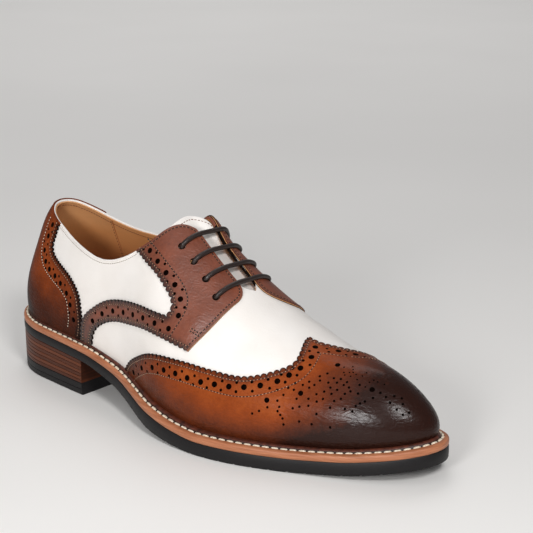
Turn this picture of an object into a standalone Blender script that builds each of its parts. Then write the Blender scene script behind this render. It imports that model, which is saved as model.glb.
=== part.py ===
"""Wing-tip derby shoe for the right foot: welted sole, stacked heel, hollow upper and its overlays.

The toe points to +X, the inner side of the foot lies at +Y and the floor is z = 0. Stations run from
the back of the heel (0) to the tip of the toe (LENGTH). Sizes are in millimetres; meshes are in metres.
"""

import bpy
import bmesh
import numpy as np
from mathutils import Matrix, Vector

MM = 0.001

# Driving sizes of the shoe, in millimetres
LENGTH = 302.0
TOE_SWING = 11.6
SWING_START = 120.0
HEEL_ROUND = 38.0
TOE_ROUND = 90.0
HEEL_BREAST = 78.0
TOP_LIFT = 7.5
WELT_THICKNESS = 4.0
INSOLE_RISE = 3.0
WALL = 2.0
OVERLAY = 1.1
LACE_RADIUS = 1.4
EYELET_RADIUS = 2.3
GAP = 0.3
FOOT_MIDDLE_HEIGHT = 40.0
SHARP_DEG = 40.0

# Depths under the finished outside of the shoe where the upper's own leather and the overlays start
UPPER_DEPTH = 0.6
OVERLAY_DEPTH = 0.05

# Columns: station, half width outside (lateral), half width inside (medial)
SOLE_WIDTHS = (
    (0, 31.2, 31.2), (30, 31.8, 31.8), (50, 33.4, 32.6), (80, 35.5, 31.0), (112, 38.8, 29.5),
    (145, 49.4, 37.0), (175, 53.7, 47.5), (205, 51.1, 53.5), (240, 41.9, 47.0), (270, 38.6, 40.0),
    (302, 38.6, 40.0),
)

# Columns: station, height of the outsole's underside, outsole thickness
SOLE_PROFILE = (
    (0, 24.8, 5.5), (40, 23.1, 5.5), (78, 21.3, 5.5), (100, 16.8, 6.5), (125, 10.4, 8.0),
    (150, 3.6, 9.0), (172, 0.9, 8.2), (188, 0.0, 7.5), (232, 0.0, 7.5), (260, 1.7, 7.5),
    (285, 5.3, 7.5), (302, 8.5, 7.5),
)

# Columns: station, distance from the sole's edge to the seam where the upper meets the welt
FEATHER_INSET = ((0, 4.5), (60, 4.5), (110, 5.5), (170, 8.0), (230, 8.0), (302, 7.6))

# Columns: station, height of the last's ridge over the middle of the foot
RIDGE = (
    (0, 112.0), (42, 113.0), (70, 117.0), (100, 119.5), (125, 117.5), (139, 111.5), (146, 106.5),
    (160, 95.5), (175, 84.0), (190, 73.8), (205, 65.3), (220, 58.8), (240, 54.0), (255, 52.0),
    (270, 50.0), (285, 47.3), (302, 43.5),
)

# Columns: station, squareness in plan, squareness in height, swell of the wall above the welt, and depth
# of the hollow over the swell
SECTION = (
    (0, 1.70, 2.00, 2.4, 2.6), (40, 1.75, 2.00, 2.4, 1.3), (70, 1.95, 2.00, 2.4, 0),
    (110, 2.20, 2.00, 2.6, 0), (150, 2.30, 2.00, 3.2, 0), (190, 2.30, 2.00, 3.8, 0),
    (230, 2.40, 2.05, 4.0, 0), (260, 2.60, 2.08, 3.8, 0), (302, 2.60, 2.10, 3.2, 0),
)
SWELL_POWER, HOLLOW_TOP = 0.8, 0.7

# The ridge's fan: section lines lean to a centre at the heel and to an apex at the toe
HEEL_CENTRE, HEEL_FAN_END = 42.0, 95.0
TOE_FAN_START, TOE_FAN_END, TOE_APEX = 205.0, 286.0, 252.0

# Columns: station, share of the girth along the collar and the throat on the outer side, on the inner side
TOP_LINE = (
    (0, 0.672, 0.672), (10, 0.650, 0.650), (20, 0.618, 0.616), (30, 0.585, 0.579), (38, 0.556, 0.550),
    (47, 0.521, 0.516), (54, 0.494, 0.492), (62, 0.467, 0.469), (70, 0.442, 0.455), (77, 0.424, 0.449),
    (85, 0.411, 0.449), (89, 0.410, 0.451), (95, 0.417, 0.456), (105, 0.449, 0.474), (118, 0.531, 0.531),
    (128, 0.645, 0.645),
    (135, 0.790, 0.778), (140, 0.890, 0.838), (145, 0.936, 0.866), (150, 0.936, 0.884), (158, 0.934, 0.911),
    (170, 0.930, 0.930), (178, 0.934, 0.950), (181, 0.955, 0.966), (183, 1.0, 1.0),
)

# Columns: station, share of the girth, along the wing cap's side edge to its notch, and from its peak to it
WING_SIDE = (
    (116, 0.03), (121, 0.065), (131, 0.122), (143, 0.190), (157, 0.248), (170, 0.295), (181, 0.335),
    (192, 0.368),
)
OUTER_NOTCH = ((203, 0.401), (212, 0.439), (219.5, 0.492), (224.5, 0.550), (228, 0.615), (229, 0.700))
INNER_NOTCH = (
    (203, 0.393), (214, 0.418), (224, 0.447), (233, 0.487), (240, 0.533), (245, 0.590), (248, 0.650),
    (249, 0.720),
)
OUTER_PEAK = ((219.5, 1.0), (222.6, 0.925), (225.7, 0.843), (228, 0.760), (229, 0.700))
INNER_PEAK = (
    (219.5, 1.0), (226, 0.993), (230, 0.983), (233.2, 0.966), (236.6, 0.945), (240.2, 0.921), (243, 0.897),
    (246, 0.862), (248.2, 0.800), (249, 0.720),
)
WING_LEVEL = (150.0, 222.0)

# Columns: station, share of the girth, along the top of the counter
COUNTER_EDGE = (
    (0, 0.632), (20, 0.577), (33.5, 0.529), (36.5, 0.490), (38, 0.420), (41, 0.371), (45, 0.349),
    (52, 0.323), (59, 0.298), (66, 0.264), (70.5, 0.233), (73.5, 0.197), (75.5, 0.140), (77, 0.075),
)

# Columns: station and share along a facing's front and the band's lower edge, then round its window
BAND = (
    (86, 0.025, 79.5, 0.095), (89, 0.078, 86, 0.172), (96, 0.132, 97, 0.236), (107, 0.174, 109, 0.274),
    (122, 0.212, 124, 0.311), (139, 0.263, 141, 0.362), (155, 0.309, 152, 0.405),
)
OUTER_FACING = (
    (172, 0.355, 153, 0.445), (180, 0.520, 153, 0.480), (183, 0.700, 148, 0.500), (183, 0.830, 141, 0.509),
    (177, 0.926, 133, 0.510), (162, 0.930, 126, 0.511), (145, 0.926, 119, 0.525),
)
INNER_FACING = (
    (174, 0.357, 153, 0.445), (187, 0.520, 153, 0.480), (193, 0.700, 148, 0.500), (191, 0.850, 141, 0.509),
    (180, 0.945, 133, 0.510), (162, 0.914, 126, 0.511), (145, 0.856, 119, 0.525),
)

# Columns: station and share of the girth of each eyelet, counted from the top
OUTER_EYELETS = ((146.0, 0.760), (155.5, 0.761), (165.5, 0.751), (174.9, 0.723))
INNER_EYELETS = ((146.0, 0.702), (155.5, 0.735), (165.5, 0.748), (174.9, 0.745))

# How deep the lace's ends go into the eyelets, and the share of the girth where a bar's halves meet
LACE_END_DEPTH = 2.0
LACE_MIDDLE = 0.98

# The tongue, under the facings: stations of its ends, how far it reaches down the sides, its depth
TONGUE_TOP, TONGUE_TOP_ROUND, TONGUE_END = 133.0, 6.0, 192.0
TONGUE_TOP_POWER = 5.0
TONGUE_REACH = 0.66
TONGUE_DEPTH = UPPER_DEPTH + WALL + 3 * GAP
TONGUE_THICKNESS = 2.0

COLOURS = {
    "white_leather": ((0.86, 0.83, 0.79), 0.45),
    "brown_leather": ((0.20, 0.065, 0.026), 0.35),
    "tan_lining": ((0.52, 0.27, 0.13), 0.6),
    "tan_welt": ((0.50, 0.22, 0.11), 0.55),
    "black_rubber": ((0.018, 0.016, 0.017), 0.55),
    "stacked_leather": ((0.14, 0.05, 0.025), 0.45),
    "waxed_lace": ((0.025, 0.014, 0.011), 0.6),
}


def smooth(table, column):
    """A natural cubic curve through one column of a table, read by station."""
    x = np.array([row[0] for row in table], float)
    y = np.array([row[column] for row in table], float)
    step = np.diff(x)
    system = np.eye(len(x))
    right = np.zeros(len(x))
    for i in range(1, len(x) - 1):
        system[i, i - 1:i + 2] = step[i - 1], 2 * (step[i - 1] + step[i]), step[i]
        right[i] = 6 * ((y[i + 1] - y[i]) / step[i] - (y[i] - y[i - 1]) / step[i - 1])
    bend = np.linalg.solve(system, right)

    def at(station):
        s = np.clip(station, x[0], x[-1])
        i = np.clip(np.searchsorted(x, s) - 1, 0, len(step) - 1)
        after, before = s - x[i], x[i + 1] - s
        curve = (bend[i] * before ** 3 + bend[i + 1] * after ** 3) / (6 * step[i])
        return (curve + (y[i] / step[i] - bend[i] * step[i] / 6) * before
                + (y[i + 1] / step[i] - bend[i + 1] * step[i] / 6) * after)

    return at


def steady(table, column):
    """A curve through one column of a table that never overshoots, so flat stretches stay flat."""
    x = np.array([row[0] for row in table], float)
    y = np.array([row[column] for row in table], float)
    step = np.diff(x)
    rise = np.diff(y) / step
    slope = np.zeros(len(x))
    slope[0], slope[-1] = rise[0], rise[-1]
    for i in range(1, len(x) - 1):
        if rise[i - 1] * rise[i] > 0:
            a, b = 2 * step[i] + step[i - 1], step[i] + 2 * step[i - 1]
            slope[i] = (a + b) / (a / rise[i - 1] + b / rise[i])

    def at(station):
        s = np.clip(station, x[0], x[-1])
        i = np.clip(np.searchsorted(x, s) - 1, 0, len(step) - 1)
        t = (s - x[i]) / step[i]
        return (y[i] * (1 + 2 * t) * (1 - t) ** 2 + step[i] * slope[i] * t * (1 - t) ** 2
                + y[i + 1] * t * t * (3 - 2 * t) + step[i] * slope[i + 1] * t * t * (t - 1))

    return at


LATERAL, MEDIAL = -1, 1
HALF_WIDTH = {LATERAL: smooth(SOLE_WIDTHS, 1), MEDIAL: smooth(SOLE_WIDTHS, 2)}
UNDERSIDE = steady(SOLE_PROFILE, 1)
SOLE_THICKNESS = steady(SOLE_PROFILE, 2)
INSET = smooth(FEATHER_INSET, 1)
RIDGE_HEIGHT = smooth(RIDGE, 1)
PLAN_SQUARE, RISE_SQUARE, SWELL, HOLLOW = (steady(SECTION, column) for column in (1, 2, 3, 4))
TOP_SHARE = {LATERAL: steady(TOP_LINE, 1), MEDIAL: steady(TOP_LINE, 2)}
FACING = {LATERAL: BAND + OUTER_FACING, MEDIAL: BAND + INNER_FACING}
EYELETS = {LATERAL: OUTER_EYELETS, MEDIAL: INNER_EYELETS}
WING_SHARE = {LATERAL: steady(WING_SIDE + OUTER_NOTCH, 1), MEDIAL: steady(WING_SIDE + INNER_NOTCH, 1)}
PEAK_SHARE = {LATERAL: steady(OUTER_PEAK, 1), MEDIAL: steady(INNER_PEAK, 1)}
COUNTER_SHARE = steady(COUNTER_EDGE, 1)


def station_of(p):
    """Station on the edge of the sole; p runs from 0 at the heel to 1 at the toe, close at both ends."""
    return LENGTH * (1 - np.cos(np.pi * p)) / 2


def place_of(station):
    """The inverse of station_of."""
    return np.arccos(1 - 2 * np.asarray(station, float) / LENGTH) / np.pi


def swing(station):
    """How far the middle of the foot turns to the inside."""
    return TOE_SWING * np.clip((station - SWING_START) / (LENGTH - SWING_START), 0, None) ** 2


def sole_edge(p, side):
    """Plan position of the sole's edge; p below 0 or above 1 goes on round the end to the other side."""
    over = (p < 0) | (p > 1)
    p = np.where(p < 0, -p, np.where(p > 1, 2 - p, p))
    s = station_of(p)
    heel = np.sqrt(1 - (np.clip(HEEL_ROUND - s, 0, None) / HEEL_ROUND) ** 2)
    toe = np.sqrt(np.clip(1 - (np.clip(s - LENGTH + TOE_ROUND, 0, None) / TOE_ROUND) ** 2, 0, 1))
    near, far = HALF_WIDTH[side](s), HALF_WIDTH[-side](s)
    return s, swing(s) + side * np.where(over, -far, near) * heel * toe


def edge_inset(p, side, distance):
    """The sole's edge moved inwards, square to itself."""
    p = np.asarray(p, float)
    near = 0.002
    s, y = sole_edge(p, side)
    s0, y0 = sole_edge(p - near, side)
    s1, y1 = sole_edge(p + near, side)
    along = np.hypot(s1 - s0, y1 - y0)
    return s + side * (y1 - y0) / along * distance, y - side * (s1 - s0) / along * distance


def seat_height(station):
    """Height of the welt's top, where the upper stands."""
    return UNDERSIDE(station) + SOLE_THICKNESS(station) + GAP + WELT_THICKNESS


def ridge_station(station):
    """Station on the ridge where the section line that starts at a station of the sole ends."""
    def ease(distance, reach, end):
        u = np.clip(distance / reach, 0, 1)
        return reach * u * (1 - u) ** 2 + end * u * u * (3 - 2 * u)

    toe = np.where(station > TOE_FAN_START,
                   TOE_FAN_START + ease(station - TOE_FAN_START, TOE_FAN_END - TOE_FAN_START,
                                        TOE_APEX - TOE_FAN_START), station)
    heel = HEEL_FAN_END - ease(HEEL_FAN_END - station, HEEL_FAN_END, HEEL_FAN_END - HEEL_CENTRE)
    return np.where(station < HEEL_FAN_END, heel, toe)


def last(p, share, side):
    """A point of the shoe's finished outside: p along the foot, share of the girth from welt to ridge."""
    p, share = np.broadcast_arrays(np.asarray(p, float), np.asarray(share, float))
    s = station_of(p)
    fx, fy = edge_inset(p, side, INSET(s))
    fz = seat_height(s) + GAP
    rx = ridge_station(s)
    ry = swing(rx)
    turn = np.pi / 2 * share
    rise = np.sin(turn) ** (2 / RISE_SQUARE(s))
    lean = 1 - np.clip(np.cos(turn), 0, 1) ** (2 / PLAN_SQUARE(s))
    swell = SWELL(s) * np.sin(np.pi * rise ** SWELL_POWER) * np.sqrt(1 - rise)
    swell = swell - HOLLOW(s) * np.sin(np.pi * np.clip(share / HOLLOW_TOP, 0, 1)) ** 3
    reach = np.hypot(fx - rx, fy - ry) + 1e-9
    x = fx + (rx - fx) * lean + (fx - rx) / reach * swell
    y = fy + (ry - fy) * lean + (fy - ry) / reach * swell
    z = fz + (RIDGE_HEIGHT(x) - fz) * rise
    return np.stack([x, y, z], -1)


def middle_shift():
    """How far the whole shoe moves across, so that its box is centred on the origin."""
    p = np.linspace(0, 1, 400)
    return -(sole_edge(p, LATERAL)[1].min() + sole_edge(p, MEDIAL)[1].max()) / 2


SHIFT = np.array([-LENGTH / 2, middle_shift(), 0.0])


def clear_scene():
    for thing in list(bpy.data.objects):
        bpy.data.objects.remove(thing, do_unlink=True)


def collection(name):
    made = bpy.data.collections.new(name)
    bpy.context.scene.collection.children.link(made)
    return made


def material(name):
    if name in bpy.data.materials:
        return bpy.data.materials[name]
    colour, roughness = COLOURS[name]
    made = bpy.data.materials.new(name)
    made.use_nodes = True
    shader = made.node_tree.nodes["Principled BSDF"]
    shader.inputs["Base Color"].default_value = (*colour, 1)
    shader.inputs["Roughness"].default_value = roughness
    shader.inputs["Metallic"].default_value = 0
    return made


def add_mesh(name, points, faces, finish, parts, weld=0.02):
    """One named object from points in shoe millimetres, its doubles merged and its faces turned out."""
    mesh = bpy.data.meshes.new(name)
    mesh.from_pydata(((np.asarray(points) + SHIFT) * MM).tolist(), [], faces)
    work = bmesh.new()
    work.from_mesh(mesh)
    bmesh.ops.remove_doubles(work, verts=work.verts, dist=weld * MM)
    bmesh.ops.dissolve_degenerate(work, edges=work.edges, dist=weld * MM / 10)
    bmesh.ops.recalc_face_normals(work, faces=work.faces)
    work.to_mesh(mesh)
    work.free()
    mesh.shade_smooth()
    mesh.set_sharp_from_angle(angle=np.radians(SHARP_DEG))
    mesh.materials.append(material(finish))
    made = bpy.data.objects.new(name, mesh)
    parts.objects.link(made)
    return made


def grid_faces(rows, columns, start=0):
    """Quads of a grid of points stored row by row."""
    return [(start + r * columns + c, start + r * columns + c + 1,
             start + (r + 1) * columns + c + 1, start + (r + 1) * columns + c)
            for r in range(rows - 1) for c in range(columns - 1)]


def thicken(made, inner, outer):
    """Solidify an open skin of the last between two depths under the finished outside."""
    shell = made.modifiers.new("wall", "SOLIDIFY")
    shell.thickness = (inner - outer) * MM
    shell.offset = -(inner + outer) / (inner - outer)
    shell.use_even_offset = True
    shell.use_quality_normals = True


def face_out(made):
    """Turn an open skin so that its faces look away from the middle of the foot."""
    work = bmesh.new()
    work.from_mesh(made.data)
    centre = Vector((0, 0, FOOT_MIDDLE_HEIGHT * MM))
    away = sum((f.calc_center_median() - centre).dot(f.normal) * f.calc_area() for f in work.faces)
    if away < 0:
        bmesh.ops.reverse_faces(work, faces=work.faces)
    work.to_mesh(made.data)
    work.free()


def skin(name, grids, finish, parts, runs=None):
    """An open skin of the last: for each side a grid of places along and one of shares of the girth.

    Where the grid is made of several runs of rows, these meet only where their points do.
    """
    points, faces = [], []
    for side, (places, shares) in grids.items():
        first = 0
        for rows in runs or (len(places),):
            faces += grid_faces(rows, places.shape[1], start=len(points))
            run = slice(first, first + rows)
            points += last(places[run], shares[run], side).reshape(-1, 3).tolist()
            first += rows
    made = add_mesh(name, points, faces, finish, parts)
    face_out(made)
    return made


def stations_near(*stretches):
    """Places along the foot from stretches of (first station, last station, count)."""
    stretch = [np.linspace(place_of(a), place_of(b), n) for a, b, n in stretches]
    return np.unique(np.round(np.concatenate(stretch), 6))


def covered(places, top, rows, hem=0.0, level=None):
    """Grids of places and shares from a hem at the welt up to a top edge.

    The rows share the height out between them. Over the stations of level they change to keep their
    own heights and end at the edge, so that a steep edge doesn't drag them across the curve of the last.
    """
    step = np.linspace(0, 1, rows)[None, :]
    top = top[:, None]
    shares = hem + (top - hem) * step
    if level is not None:
        ended = np.minimum(hem + (1 - hem) * step, top)
        change = np.clip((station_of(places) - level[0]) / (level[1] - level[0]), 0, 1)[:, None]
        shares = shares + (ended - shares) * change
    return np.repeat(places[:, None], rows, 1), shares


def plate(name, places, insets, heights, finish, parts):
    """A flat-bottomed piece of the sole: a ring of insets and heights at each place along the foot."""
    points = []
    for side, order in ((LATERAL, 1), (MEDIAL, -1)):
        for inset, height in list(zip(insets, heights))[::order]:
            x, y = edge_inset(places, side, inset)
            points.append(np.stack([x, y, height(x)], -1))
    ring = len(points)
    points = np.stack(points, 1)
    faces = []
    for i in range(len(places) - 1):
        for k in range(ring):
            a, b = i * ring + k, i * ring + (k + 1) % ring
            faces.append((a, b, b + ring, a + ring))
    faces.append(tuple(range(ring)))
    faces.append(tuple((len(places) - 1) * ring + k for k in range(ring)))
    return add_mesh(name, points.reshape(-1, 3), faces, finish, parts)


END = 0.012
ALONG = stations_near((station_of(END), 40, 8), (40, 150, 10), (150, 190, 5), (190, 230, 5),
                      (230, station_of(1 - END), 12))


def make_outsole(parts):
    """Black outsole with heel seat, arch, flat tread and toe spring, its lower edge broken."""
    edge_break = 0.8

    def under(s):
        return UNDERSIDE(s)

    def side_foot(s):
        return UNDERSIDE(s) + edge_break

    def top(s):
        return UNDERSIDE(s) + SOLE_THICKNESS(s)

    plate("outsole", ALONG, (edge_break, 0, 0), (under, side_foot, top), "black_rubber", parts)


def make_heel(parts):
    """Stacked leather heel under the heel seat and the black lift it walks on."""
    places = np.linspace(END, place_of(HEEL_BREAST), 14)
    top_inset, lift_inset, floor_inset = 0.3, 0.5, 0.8

    def stack_top(s):
        return UNDERSIDE(s) - GAP

    def level(height):
        return lambda s: np.full_like(s, height)

    plate("heel_stack", places, (lift_inset, top_inset), (level(TOP_LIFT), stack_top),
          "stacked_leather", parts)
    plate("heel_top_lift", places, (floor_inset, lift_inset), (level(0.0), level(TOP_LIFT - GAP)),
          "black_rubber", parts)


def make_welt(parts):
    """Tan welt all round, between the outsole and the seam of the upper."""
    inside = UPPER_DEPTH + WALL + GAP
    edge, edge_break = 0.3, 0.8
    points = []
    for side, run in ((LATERAL, ALONG), (MEDIAL, ALONG[::-1])):
        s = station_of(run)
        for_inner = INSET(s) + inside
        ring = []
        for inset, rise in ((for_inner, 0.0), (edge, 0.0), (edge, WELT_THICKNESS - edge_break),
                            (edge + edge_break, WELT_THICKNESS), (for_inner, WELT_THICKNESS)):
            x, y = edge_inset(run, side, inset)
            ring.append(np.stack([x, y, seat_height(s) - WELT_THICKNESS + rise], -1))
        points.append(np.stack(ring, 1))
    points = np.concatenate(points)
    count, ring = points.shape[:2]
    faces = []
    for i in range(count):
        for k in range(ring):
            a, b = i * ring + k, i * ring + (k + 1) % ring
            c, d = (i + 1) % count * ring + k, (i + 1) % count * ring + (k + 1) % ring
            faces.append((a, b, d, c))
    add_mesh("welt", points.reshape(-1, 3), faces, "tan_welt", parts)


def make_insole(parts):
    """Insole inside the upper, bedded on the outsole within the welt."""
    places = stations_near((station_of(END), 40, 6), (40, 190, 11), (190, station_of(1 - END), 12))
    inset = INSET(station_of(places)) + UPPER_DEPTH + WALL + 2 * GAP

    def bed(s):
        return UNDERSIDE(s) + SOLE_THICKNESS(s) + GAP

    def top(s):
        return seat_height(s) + INSOLE_RISE

    plate("insole", places, (inset, inset), (bed, top), "tan_lining", parts)


UPPER_PLACES = stations_near((0, 30, 5), (30, 116, 8), (116, 150, 9), (150, 176, 4), (176, 184, 5),
                             (184, 219.5, 6), (219.5, 232, 7), (232, LENGTH, 10))
ROWS = 10
NARROW_ROWS = 6
HEM = 0.014


def make_upper(parts):
    """White leather upper: one hollow wall, open at the collar, the throat and underneath."""
    grids = {side: covered(UPPER_PLACES, TOP_SHARE[side](station_of(UPPER_PLACES)), ROWS)
             for side in (LATERAL, MEDIAL)}
    made = skin("upper", grids, "white_leather", parts)
    thicken(made, UPPER_DEPTH + WALL, UPPER_DEPTH)
    return made


def make_wing_cap(parts):
    """Brown wing-tip toe cap: a wing along each side, and a peak at the middle behind a notch."""
    stations = station_of(UPPER_PLACES)
    low = UPPER_PLACES[stations > WING_SIDE[0][0] - GAP]
    high = UPPER_PLACES[stations > OUTER_PEAK[0][0] - GAP]
    high_places = np.repeat(high[:, None], ROWS, 1)
    level = HEM + (1 - HEM) * np.linspace(0, 1, ROWS)[None, :]
    grids = {}
    for side in (LATERAL, MEDIAL):
        low_places, low_shares = covered(low, WING_SHARE[side](station_of(low)), ROWS, HEM, WING_LEVEL)
        high_shares = np.maximum(level, PEAK_SHARE[side](station_of(high))[:, None])
        grids[side] = np.concatenate([low_places, high_places]), np.concatenate([low_shares, high_shares])
    made = skin("wing_cap", grids, "brown_leather", parts, (len(low), len(high)))
    thicken(made, OVERLAY_DEPTH, OVERLAY_DEPTH - OVERLAY)


def make_counter(parts):
    """Brown heel counter round the back, swept forward at the welt."""
    chosen = UPPER_PLACES[station_of(UPPER_PLACES) < COUNTER_EDGE[-1][0] - 1]
    extra = place_of(np.array([row[0] for row in COUNTER_EDGE[2:]]))
    places = np.unique(np.concatenate([chosen, extra]))
    grid = covered(places, COUNTER_SHARE(station_of(places)), NARROW_ROWS, HEM)
    made = skin("heel_counter", {LATERAL: grid, MEDIAL: grid}, "brown_leather", parts)
    thicken(made, OVERLAY_DEPTH, OVERLAY_DEPTH - OVERLAY)


def make_facing(name, side, parts):
    """Brown facing with the eyelets, and the band that runs from it round to the heel."""
    ribbon = [(k, *row) for k, row in enumerate(FACING[side])]
    outer_s, outer_t, inner_s, inner_t = (steady(ribbon, column) for column in (1, 2, 3, 4))
    along = np.linspace(0, len(ribbon) - 1, 2 * len(ribbon) - 1)[:, None]
    across = np.linspace(0, 1, NARROW_ROWS)[None, :]
    stations = outer_s(along) + (inner_s(along) - outer_s(along)) * across
    shares = outer_t(along) + (inner_t(along) - outer_t(along)) * across
    made = skin(name, {side: (place_of(stations), shares)}, "brown_leather", parts)
    thicken(made, OVERLAY_DEPTH, OVERLAY_DEPTH - OVERLAY)
    return made


def surface_frame(station, share, side):
    """A point of the outside and the direction out of the leather there, in millimetres."""
    p, near = float(place_of(station)), 0.004
    point = last(p, share, side)
    along = last(p + near, share, side) - last(p - near, share, side)
    up = last(p, share + near, side) - last(p, share - near, side)
    out = np.cross(along, up) * -side
    return point, out / np.linalg.norm(out)


def punch(target, cutter):
    hole = target.modifiers.new(cutter.name, "BOOLEAN")
    hole.operation = "DIFFERENCE"
    hole.solver = "EXACT"
    hole.object = cutter


def punch_eyelets(upper, facings, cutters):
    """Eyelet holes through the facings and the leather under them."""
    depth = 14.0
    for side, facing in facings.items():
        for row, (station, share) in enumerate(EYELETS[side], 1):
            point, out = surface_frame(station, share, side)
            work = bmesh.new()
            bmesh.ops.create_cone(work, cap_ends=True, segments=12, radius1=EYELET_RADIUS * MM,
                                  radius2=EYELET_RADIUS * MM, depth=depth * MM)
            mesh = bpy.data.meshes.new("eyelet_cutter")
            work.to_mesh(mesh)
            work.free()
            cutter = bpy.data.objects.new(f"eyelet_cutter_{facing.name}_{row}", mesh)
            turn = Vector(out).to_track_quat("Z", "Y").to_matrix().to_4x4()
            cutter.matrix_world = Matrix.Translation(Vector((point + SHIFT) * MM)) @ turn
            cutter.hide_render = True
            cutter.display_type = "WIRE"
            cutters.objects.link(cutter)
            punch(facing, cutter)
            punch(upper, cutter)


def make_tongue(parts):
    """Tongue under the facings, its rounded top standing above them."""
    rows = 11
    across = np.linspace(0, 1, NARROW_ROWS)[None, :]
    along = np.linspace(0, 1, rows)[:, None]
    first = TONGUE_TOP + TONGUE_TOP_ROUND * (1 - across) ** TONGUE_TOP_POWER
    stations = first + (TONGUE_END - first) * along
    shares = np.repeat(TONGUE_REACH + (1 - TONGUE_REACH) * across, rows, 0)
    grid = place_of(stations), shares
    made = skin("tongue", {LATERAL: grid, MEDIAL: grid}, "white_leather", parts)
    thicken(made, TONGUE_DEPTH + TONGUE_THICKNESS, TONGUE_DEPTH)


def make_laces(parts):
    """Round lace: a straight bar at each pair of eyelets, its ends turned down into the holes."""
    height = OVERLAY - OVERLAY_DEPTH + GAP + LACE_RADIUS
    for row in range(len(OUTER_EYELETS)):
        halves = []
        for side in (LATERAL, MEDIAL):
            station, share = EYELETS[side][row]
            over = []
            for step in np.linspace(share, LACE_MIDDLE, 4):
                point, out = surface_frame(station, step, side)
                over.append(point + out * height)
            point, out = surface_frame(station, share, side)
            inward = (over[1] - over[0]) / np.linalg.norm(over[1] - over[0])
            over[0] = over[0] + inward * LACE_RADIUS
            turn = point + out * (height - LACE_RADIUS)
            halves.append([point - out * LACE_END_DEPTH, turn, *over])
        route = np.array(halves[0] + halves[1][::-1])
        name = f"lace_bar_{row + 1}"
        curve = bpy.data.curves.new(name, "CURVE")
        curve.dimensions = "3D"
        curve.bevel_depth = LACE_RADIUS * MM
        curve.bevel_resolution = 2
        curve.use_fill_caps = True
        spline = curve.splines.new("POLY")
        spline.points.add(len(route) - 1)
        for knot, point in zip(spline.points, (route + SHIFT) * MM):
            knot.co = (*point, 1)
        curve.materials.append(material("waxed_lace"))
        parts.objects.link(bpy.data.objects.new(name, curve))


def main():
    clear_scene()
    parts = collection("wingtip_derby_shoe")
    cutters = collection("cutters")
    make_outsole(parts)
    make_heel(parts)
    make_welt(parts)
    make_insole(parts)
    upper = make_upper(parts)
    make_wing_cap(parts)
    make_counter(parts)
    facings = {LATERAL: make_facing("facing_lateral", LATERAL, parts),
               MEDIAL: make_facing("facing_medial", MEDIAL, parts)}
    make_tongue(parts)
    make_laces(parts)
    punch_eyelets(upper, facings, cutters)


main()
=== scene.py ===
"""Wing-tip derby shoe for the right foot, dressed: leathers, pinked edges, punched holes, stitches, lace.

The toe points to +X, the inner side of the foot lies at +Y and the floor is z = 0. Sizes are in
millimetres and meshes in metres. Every leather lies on one surface, the last: q runs from -1 at the toe
along the outer side to 0 at the back of the heel and along the inner side to 1 at the toe again, and
share is the part of the girth from the welt (0) to the ridge over the foot (1).
"""

import bpy
import numpy as np
from mathutils import Matrix, Vector
from mathutils.geometry import delaunay_2d_cdt
from mathutils.kdtree import KDTree


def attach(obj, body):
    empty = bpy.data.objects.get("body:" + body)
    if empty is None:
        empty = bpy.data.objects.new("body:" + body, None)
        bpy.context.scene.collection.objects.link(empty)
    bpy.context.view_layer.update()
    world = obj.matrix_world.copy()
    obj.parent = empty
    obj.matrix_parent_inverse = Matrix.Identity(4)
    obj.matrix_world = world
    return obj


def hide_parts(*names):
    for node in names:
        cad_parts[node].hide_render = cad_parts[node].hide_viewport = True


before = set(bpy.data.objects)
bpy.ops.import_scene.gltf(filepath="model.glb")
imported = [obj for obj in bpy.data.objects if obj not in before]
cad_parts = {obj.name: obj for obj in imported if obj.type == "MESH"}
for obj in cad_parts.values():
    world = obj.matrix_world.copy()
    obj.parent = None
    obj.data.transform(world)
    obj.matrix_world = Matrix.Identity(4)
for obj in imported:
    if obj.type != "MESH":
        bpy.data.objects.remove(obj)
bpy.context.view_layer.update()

MM = 0.001
OUTER, INNER = -1, 1

# Sizes of the last and the sole, in millimetres, as the solids have them
LENGTH = 302.0
TOE_SWING, SWING_START = 11.6, 120.0
HEEL_ROUND, TOE_ROUND = 38.0, 90.0
HEEL_BREAST = 78.0
TOP_LIFT = 7.5
WELT_THICKNESS = 4.0
INSOLE_RISE = 3.0
GAP = 0.3
HEEL_CENTRE, HEEL_FAN_END = 42.0, 95.0
TOE_FAN_START, TOE_FAN_END, TOE_APEX = 205.0, 286.0, 252.0
SWELL_POWER, HOLLOW_TOP = 0.8, 0.7

# Columns: station, half width outside, half width inside
SOLE_WIDTHS = (
    (0, 31.2, 31.2), (30, 31.8, 31.8), (50, 33.4, 32.6), (80, 35.5, 31.0), (112, 38.8, 29.5),
    (145, 49.4, 37.0), (175, 53.7, 47.5), (205, 51.1, 53.5), (240, 41.9, 47.0), (270, 38.6, 40.0),
    (302, 38.6, 40.0),
)

# Columns: station, height of the outsole's underside, outsole thickness
SOLE_PROFILE = (
    (0, 24.8, 5.5), (40, 23.1, 5.5), (78, 21.3, 5.5), (100, 16.8, 6.5), (125, 10.4, 8.0),
    (150, 3.6, 9.0), (172, 0.9, 8.2), (188, 0.0, 7.5), (232, 0.0, 7.5), (260, 1.7, 7.5),
    (285, 5.3, 7.5), (302, 8.5, 7.5),
)

# Columns: station, distance from the sole's edge to the seam where the upper meets the welt
FEATHER_INSET = ((0, 4.5), (60, 4.5), (110, 5.5), (170, 8.0), (230, 8.0), (302, 7.6))

# Columns: station, height of the last's ridge
RIDGE = (
    (0, 112.0), (42, 113.0), (70, 117.0), (100, 119.5), (125, 117.5), (139, 111.5), (146, 106.5),
    (160, 95.5), (175, 84.0), (190, 73.8), (205, 65.3), (220, 58.8), (240, 54.0), (255, 52.0),
    (270, 50.0), (285, 47.3), (302, 43.5),
)

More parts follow.
